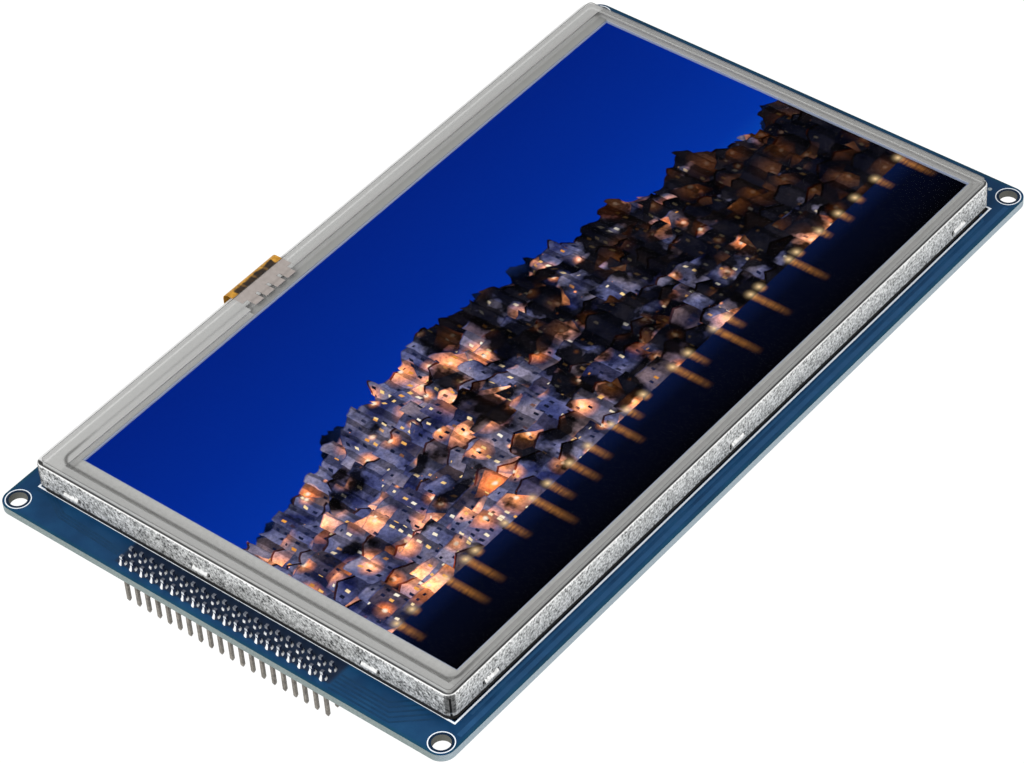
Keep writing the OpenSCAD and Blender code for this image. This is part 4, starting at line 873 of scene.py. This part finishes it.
post_units = add(MATH, [across, LAMP_STEP], operation="DIVIDE")
posts = add(CELLS, {"W": post_units, **LAMP_CELLS}, voronoi_dimensions="1D").outputs
post_x = add(MATH, [posts["Distance"], LAMP_STEP], operation="MULTIPLY")
post_y = add(MATH, [over_quay, LAMP_HEIGHT], operation="SUBTRACT")
post_offset = add(JOIN, {"X": post_x, "Y": post_y})
post_far = add(VECTOR, [post_offset], operation="LENGTH")
halo = add(RANGE, {0: post_far, 2: HALO, 3: 1.0, 4: 0.0})
halo = add(MATH, [halo, 3.0], operation="POWER")
lit = add(MIX, [halo, scene_colour, linear("#ffd9a0")], data_type="RGBA")
feed(shader, {"Emission Color": lit})
shader.inputs["Emission Strength"].default_value = 1.0
picture_finish.cycles.emission_sampling = "NONE"
dress(picture_finish, "front_polariser")
print("picture nodes:", len(shader.id_data.nodes))

# %% [markdown]
# ## Helpers for grown details
# The thin details are grown by Geometry Nodes trees from points and lines. The helpers start and end such a
# tree, run it, and keep the result as a plain mesh, so that it can be exported.

# %% Geometry Nodes helpers
def new_tree(name, sizes):
    tree = bpy.data.node_groups.new(name, "GeometryNodeTree")
    tree.interface.new_socket(name="Geometry", in_out="INPUT", socket_type="NodeSocketGeometry")
    tree.interface.new_socket(name="Geometry", in_out="OUTPUT", socket_type="NodeSocketGeometry")
    for size in sizes:
        tree.interface.new_socket(name=size, in_out="INPUT", socket_type="NodeSocketFloat")
    add = partial(put, tree)
    return tree, add, add("NodeGroupInput").outputs


def end_tree(add, geometry, finish):
    solid = add("GeometryNodeRealizeInstances", {0: geometry})
    coated = add("GeometryNodeSetMaterial", {"Geometry": solid, "Material": finish})
    add("NodeGroupOutput", {0: coated})


def grow(name, mesh, tree, sizes):
    """Runs a tree on a mesh with its sizes in millimetres, and returns a plain mesh object."""
    seed = bpy.data.objects.new(name + "_seed", mesh)
    bpy.context.scene.collection.objects.link(seed)
    modifier = seed.modifiers.new("grow", "NODES")
    modifier.node_group = tree
    for socket in tree.interface.items_tree:
        if socket.in_out == "INPUT" and socket.name in sizes:
            modifier[socket.identifier] = sizes[socket.name] * MM
    grown = seed.evaluated_get(bpy.context.evaluated_depsgraph_get())
    plain = bpy.data.meshes.new_from_object(grown)
    bpy.data.objects.remove(seed)
    piece = bpy.data.objects.new(name, plain)
    bpy.context.scene.collection.objects.link(piece)
    print(name, "faces:", len(plain.polygons))
    return piece


def point_mesh(name, places):
    mesh = bpy.data.meshes.new(name)
    mesh.from_pydata([Vector(p) * MM for p in places], [], [])
    return mesh


def line_mesh(name, lines):
    """lines are lists of points in millimetres. A line that ends where it starts is closed."""
    points = []
    edges = []
    for line in lines:
        closed = line[0] == line[-1]
        kept = line[:-1] if closed else line
        first = len(points)
        points += [Vector(p) * MM for p in kept]
        edges += [(first + i, first + i + 1) for i in range(len(kept) - 1)]
        if closed:
            edges.append((len(points) - 1, first))
    mesh = bpy.data.meshes.new(name)
    mesh.from_pydata(points, edges, [])
    return mesh


print("geometry helpers ready")

# %% [markdown]
# ## Solder joints
# The solder is painted bright on the side that faces the lamps, as a painted highlight, and dark navy
# elsewhere as painted shade, with a painted glint at the foot on the far side; the inner row keeps its
# highlight only near the foot. The direction that each face looks in tells them apart, as on the pins.

# %% Solder finish
LIGHT_FROM = (-0.63, 0.78, 0.0)
FOOT_LOW, FOOT_HIGH = BOARD_TOP + 0.35, BOARD_TOP + 0.6
solder_finish, add, shader = start_finish("wave_solder", {"Metallic": 0.05, "Roughness": 0.2})
in_mm, axis = place_in_mm(add)
normal = add(COORDS).outputs["Normal"]
# Painted light: faces turned towards the lamps are painted bright, a glint is painted at the foot, the rest
# is dark painted shade
towards = add(VECTOR, [normal, LIGHT_FROM], operation="DOT_PRODUCT")
solder_lit_side = add(RANGE, [towards, 0.25, 0.45])
opposite = add(RANGE, {0: towards, 1: -0.4, 2: -0.6, 4: 0.85})
foot = add(RANGE, [axis["Z"], FOOT_LOW, FOOT_HIGH, 1.0, 0.0])
inner_row = add(MATH, [axis["X"], ROW_MIDDLE], operation="GREATER_THAN")
inner_row_painted_shade = add(MIX, [inner_row, 1.0, foot])
streak = add(MATH, [solder_lit_side, inner_row_painted_shade], operation="MULTIPLY")
glint = add(MATH, [opposite, foot], operation="MULTIPLY")
painted_highlight = add(MATH, [streak, glint], operation="MAXIMUM")
speck = add(NOISE, {"Vector": in_mm, "Scale": 1 / 0.3, "Detail": 3.0})
bright = add(RAMP, [speck], stops=[(0.3, "#eceef0"), (0.5, "#ffffff")])
tint = add(MIX, [painted_highlight, linear("#1d283e"), bright], data_type="RGBA")
feed(shader, {"Base Color": tint})
print("solder finish nodes:", len(shader.id_data.nodes))

# %% [markdown]
# Solder wets the pad and climbs the pin, so each joint is a small cone with hollow sides. The real one
# could be turned on a lathe. Here a tree sweeps a circle up a short line and shrinks it on the way, then
# sets one joint on every pin.

# %% Solder joints on the pins
joint_tree, add, given = new_tree("solder_joint", ("Foot radius", "Tip radius", "Height"))
peak = add(JOIN, {"Z": given["Height"]})
stem = add("GeometryNodeCurvePrimitiveLine", {"End": peak})
stem = add("GeometryNodeResampleCurve", {"Curve": stem, "Count": 9})
share = add("GeometryNodeSplineParameter").outputs["Factor"]
left_over = add(MATH, [1.0, share], operation="SUBTRACT")
hollow = add(MATH, [left_over, 2.4], operation="POWER")
girth = add(RANGE, {0: hollow, 3: given["Tip radius"], 4: given["Foot radius"]})
ring = add("GeometryNodeCurvePrimitiveCircle", {"Resolution": 18, "Radius": 1.0})
cone = add("GeometryNodeCurveToMesh",
           {"Curve": stem, "Profile Curve": ring, "Scale": girth, "Fill Caps": True})
cone = add("GeometryNodeSetShadeSmooth", {"Geometry": cone})
joints = add("GeometryNodeInstanceOnPoints", {"Points": given["Geometry"], "Instance": cone})
end_tree(add, joints, solder_finish)

pin_places = [
    (PIN_LOW_X + row * PIN_PITCH, PIN_LOW_Y + i * PIN_PITCH, BOARD_TOP)
    for row in range(2) for i in range(PINS)
]
solder_joints = grow("solder_joints", point_mesh("pin_points", pin_places), joint_tree,
                     {"Foot radius": 0.78, "Tip radius": 0.47, "Height": 1.3})
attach(solder_joints, "module")
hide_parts("header_solder")

# %% [markdown]
# ## White print on the board
# A thin white outline marks the panel's place, and a ring marks each corner hole. Printed ink is a film a
# few hundredths of a millimetre thick, so a flat band is swept along each line. Outlines round the chips
# under the board are printed in the same way, at a little distance from each body.

# %% Printed lines
def band_tree(name, finish):
    tree, add, given = new_tree(name, ("Width", "Thickness"))
    path = add("GeometryNodeMeshToCurve", {"Mesh": given["Geometry"]})
    path = add("GeometryNodeSetCurveNormal", {"Curve": path}, mode="Z_UP")
    section = add("GeometryNodeCurvePrimitiveQuadrilateral",
                  {"Width": given["Width"], "Height": given["Thickness"]})
    band = add("GeometryNodeCurveToMesh", {"Curve": path, "Profile Curve": section, "Fill Caps": True})
    flat = add("GeometryNodeSetShadeSmooth", {"Geometry": band, "Shade Smooth": False})
    end_tree(add, flat, finish)
    return tree


def framed(low, high, gap, level):
    """A closed outline round a rectangle, with a gap."""
    left, near, right, far = low[0] - gap, low[1] - gap, high[0] + gap, high[1] + gap
    turns = ((left, near), (right, near), (right, far), (left, far), (left, near))
    return [(x, y, level) for x, y in turns]


def bands(name, lines, tree, width, thickness):
    return grow(name, line_mesh(name + "_path", lines), tree, {"Width": width, "Thickness": thickness})


# Epoxy ink: dull pure white with a slightly uneven film
silk_finish = grained("white_epoxy_ink", "#e8f1fb", "#f8fbff", 0.3, (0.5, 0.6), 0.003)
silk_tree = band_tree("printed_band", silk_finish)
INK, CHIP_GAP = 0.02, 0.5
RING_RADIUS, RING_STEPS = 2.44, 64
OUTLINE_LOW, OUTLINE_HIGH = (-82.8, -50.14), (82.5, 50.1)
top = BOARD_TOP + INK / 2
below = -INK / 2
turns = [2 * math.pi * i / RING_STEPS for i in range(RING_STEPS)] + [0.0]
rings = [
    [(x + RING_RADIUS * math.cos(t), y + RING_RADIUS * math.sin(t), top) for t in turns]
    for x in (-HOLE_X, HOLE_X) for y in (-HOLE_Y, HOLE_Y)
]
outlined = ("controller_leads", "flash_leads", "regulator_leads", "boost_chip_leads", "power_inductor",
            "diode_leads", "crystal_base", "touch_chip_leads", "lcd_connector_body", "touch_connector_body")
frames = [framed(*box_of(name), CHIP_GAP, below) for name in outlined]
panel_outline = bands("panel_outline", [framed(OUTLINE_LOW, OUTLINE_HIGH, 0.0, top)], silk_tree, 0.54, INK)
hole_rings = bands("hole_rings", rings, silk_tree, 0.2, INK)
chip_outlines = bands("chip_outlines", frames, silk_tree, 0.18, INK)
for piece in (panel_outline, hole_rings, chip_outlines):
    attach(piece, "module")

# %% [markdown]
# ## Adhesive between the fingers
# When film and glass are pressed together, the milky adhesive runs into the gaps between the ribbon's
# fingers and sets there. The same flat band fills each gap as far as the seal's inner edge. The wider gaps at
# both ends take two bands side by side. On the header side of the ribbon one broad band widens the seal.

# %% Adhesive in the gaps
GAP_ROOT, SEAL_LEVEL, SEAL_FILM, BAND = 45.7, 9.8, 0.08, 0.62
END_GAPS = (6.13, 6.76)
BORDER_START, BORDER_GAP = -81.4, 0.35
gap_places = [-FINGER_PITCH, 0.0, FINGER_PITCH]
for side in (-1, 1):
    gap_places += [side * gap for gap in END_GAPS]
fillets = [
    [(tail_middle + x, GAP_ROOT, SEAL_LEVEL), (tail_middle + x, SEAL_FAR, SEAL_LEVEL)] for x in gap_places
]
border_y = SEAL_FAR - SEAL_STEP / 2
border = [(BORDER_START, border_y, SEAL_LEVEL), (tail_low[0] - BORDER_GAP, border_y, SEAL_LEVEL)]
adhesive_tree = band_tree("adhesive_band", seal_finish)
finger_adhesive = bands("finger_adhesive", fillets, adhesive_tree, BAND, SEAL_FILM)
border_adhesive = bands("border_adhesive", [border], adhesive_tree, SEAL_STEP, SEAL_FILM)
for piece in (finger_adhesive, border_adhesive):
    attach(piece, "module")

# %% [markdown]
# ## Copper traces under the mask
# Copper tracks lie under the mask and show as slightly darker lines, because copper swallows the light that
# the pale board would send back. They leave the header along the margin and turn at about forty-five degrees.
# Two broad supply tracks run along the near margin, and the thinner mask over them looks lighter. The same
# band follows each track.

# %% Traces on top
SKIN = 0.016
TRACE_END_X, TRACE_RISE = -82.6, 1.15
top = BOARD_TOP + SKIN / 2


def mask_over(name, dark, light, grain):
    finish = grained(name, dark, light, grain, (0.4, 0.5))
    finish.node_tree.nodes["Principled BSDF"].inputs["Specular IOR Level"].default_value = 0.15
    return finish


# Mask over thin tracks: darker than over the bare board
trace_tree = band_tree("trace_band", mask_over("mask_over_copper", "#0f3352", "#133a5b", 1.0))
margin = []
for k in range(5):
    x = -89.3 + 0.9 * k
    turn_y = -40.6 + 0.75 * k
    end_y = turn_y + (x - TRACE_END_X) * TRACE_RISE
    margin.append([(x, -26.6, top), (x, turn_y, top), (TRACE_END_X, end_y, top)])
for k in range(3):
    x = -87.2 + 0.62 * k
    margin.append([(x, 26.0, top), (x + 0.7, 41.5, top), (x + 3.6, 47.2, top), (x + 3.6, 49.8, top)])
top_traces = bands("top_traces", margin, trace_tree, 0.42, SKIN)

# Mask over a broad supply track: thinner there, so lighter
supply_tree = band_tree("supply_band", mask_over("mask_over_supply_track", "#1f466b", "#224c74", 2.0))
supply_paths = (
    ([(-84.6, -52.5, top), (84.6, -52.5, top)], 1.0),
    ([(-79.5, -51.05, top), (78.5, -51.05, top), (80.8, -48.75, top)], 0.55),
)
supply_traces = [
    bands("supply_trace_%d" % k, [path], supply_tree, width, SKIN)
    for k, (path, width) in enumerate(supply_paths)
]
for piece in (top_traces, *supply_traces):
    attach(piece, "module")

# %% [markdown]
# Under the board, bundles link the header and the panel connector to the display controller, and small via
# pads lie where tracks change sides. Two small bare pads lie on top beside one of the corner holes.

# %% Traces and pads below
BUNDLE, VIAS, TRACK_START = 20, 70, -84.6
below = -SKIN / 2
chip_low, chip_high = box_of("controller_leads")
socket_low = box_of("lcd_connector_body")[0]
tracks = []
for i in range(BUNDLE):
    y = PIN_LOW_Y + (BUNDLE - 1 - i) * PIN_PITCH
    end_y = chip_high[1] - 2.0 - i * 0.62
    bend_x = -82.0 + (BUNDLE - 1 - i) * 0.5
    bend_end = bend_x + abs(end_y - y)
    out_track = [(TRACK_START, y, below), (bend_x, y, below)]
    tracks.append(out_track + [(bend_end, end_y, below), (chip_low[0], end_y, below)])
for i in range(BUNDLE):
    x = socket_low[0] + 3.0 + i * 1.2
    end_y = chip_high[1] - 1.6 - i * 0.6
    down_track = [(x, socket_low[1], below), (x, end_y + 1.2, below)]
    tracks.append(down_track + [(x - 1.2, end_y, below), (chip_high[0], end_y, below)])
under_traces = bands("under_traces", tracks, trace_tree, 0.3, SKIN)

# Tinned pads: small bright discs
pad_finish = grained("tinned_pad", "#9fb0b8", "#d8e2e6", 0.4, (0.25, 0.4), 0.004, 0.7)
pad_tree, add, given = new_tree("round_pads", ("Radius", "Thickness"))
disc = add("GeometryNodeMeshCylinder",
           {"Vertices": 16, "Radius": given["Radius"], "Depth": given["Thickness"]})
discs = add("GeometryNodeInstanceOnPoints", {"Points": given["Geometry"], "Instance": disc})
end_tree(add, discs, pad_finish)
dice = random.Random(7)
via_places = [(dice.uniform(-78, 80), dice.uniform(-46, 44), below) for i in range(VIAS)]
vias = grow("vias", point_mesh("via_points", via_places), pad_tree, {"Radius": 0.32, "Thickness": SKIN})
pad_places = [(87.3, -46.8, top), (87.3, -45.0, top)]
corner_pads = grow("corner_pads", point_mesh("pad_points", pad_places), pad_tree,
                   {"Radius": 0.45, "Thickness": SKIN})
for piece in (under_traces, vias, corner_pads):
    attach(piece, "module")
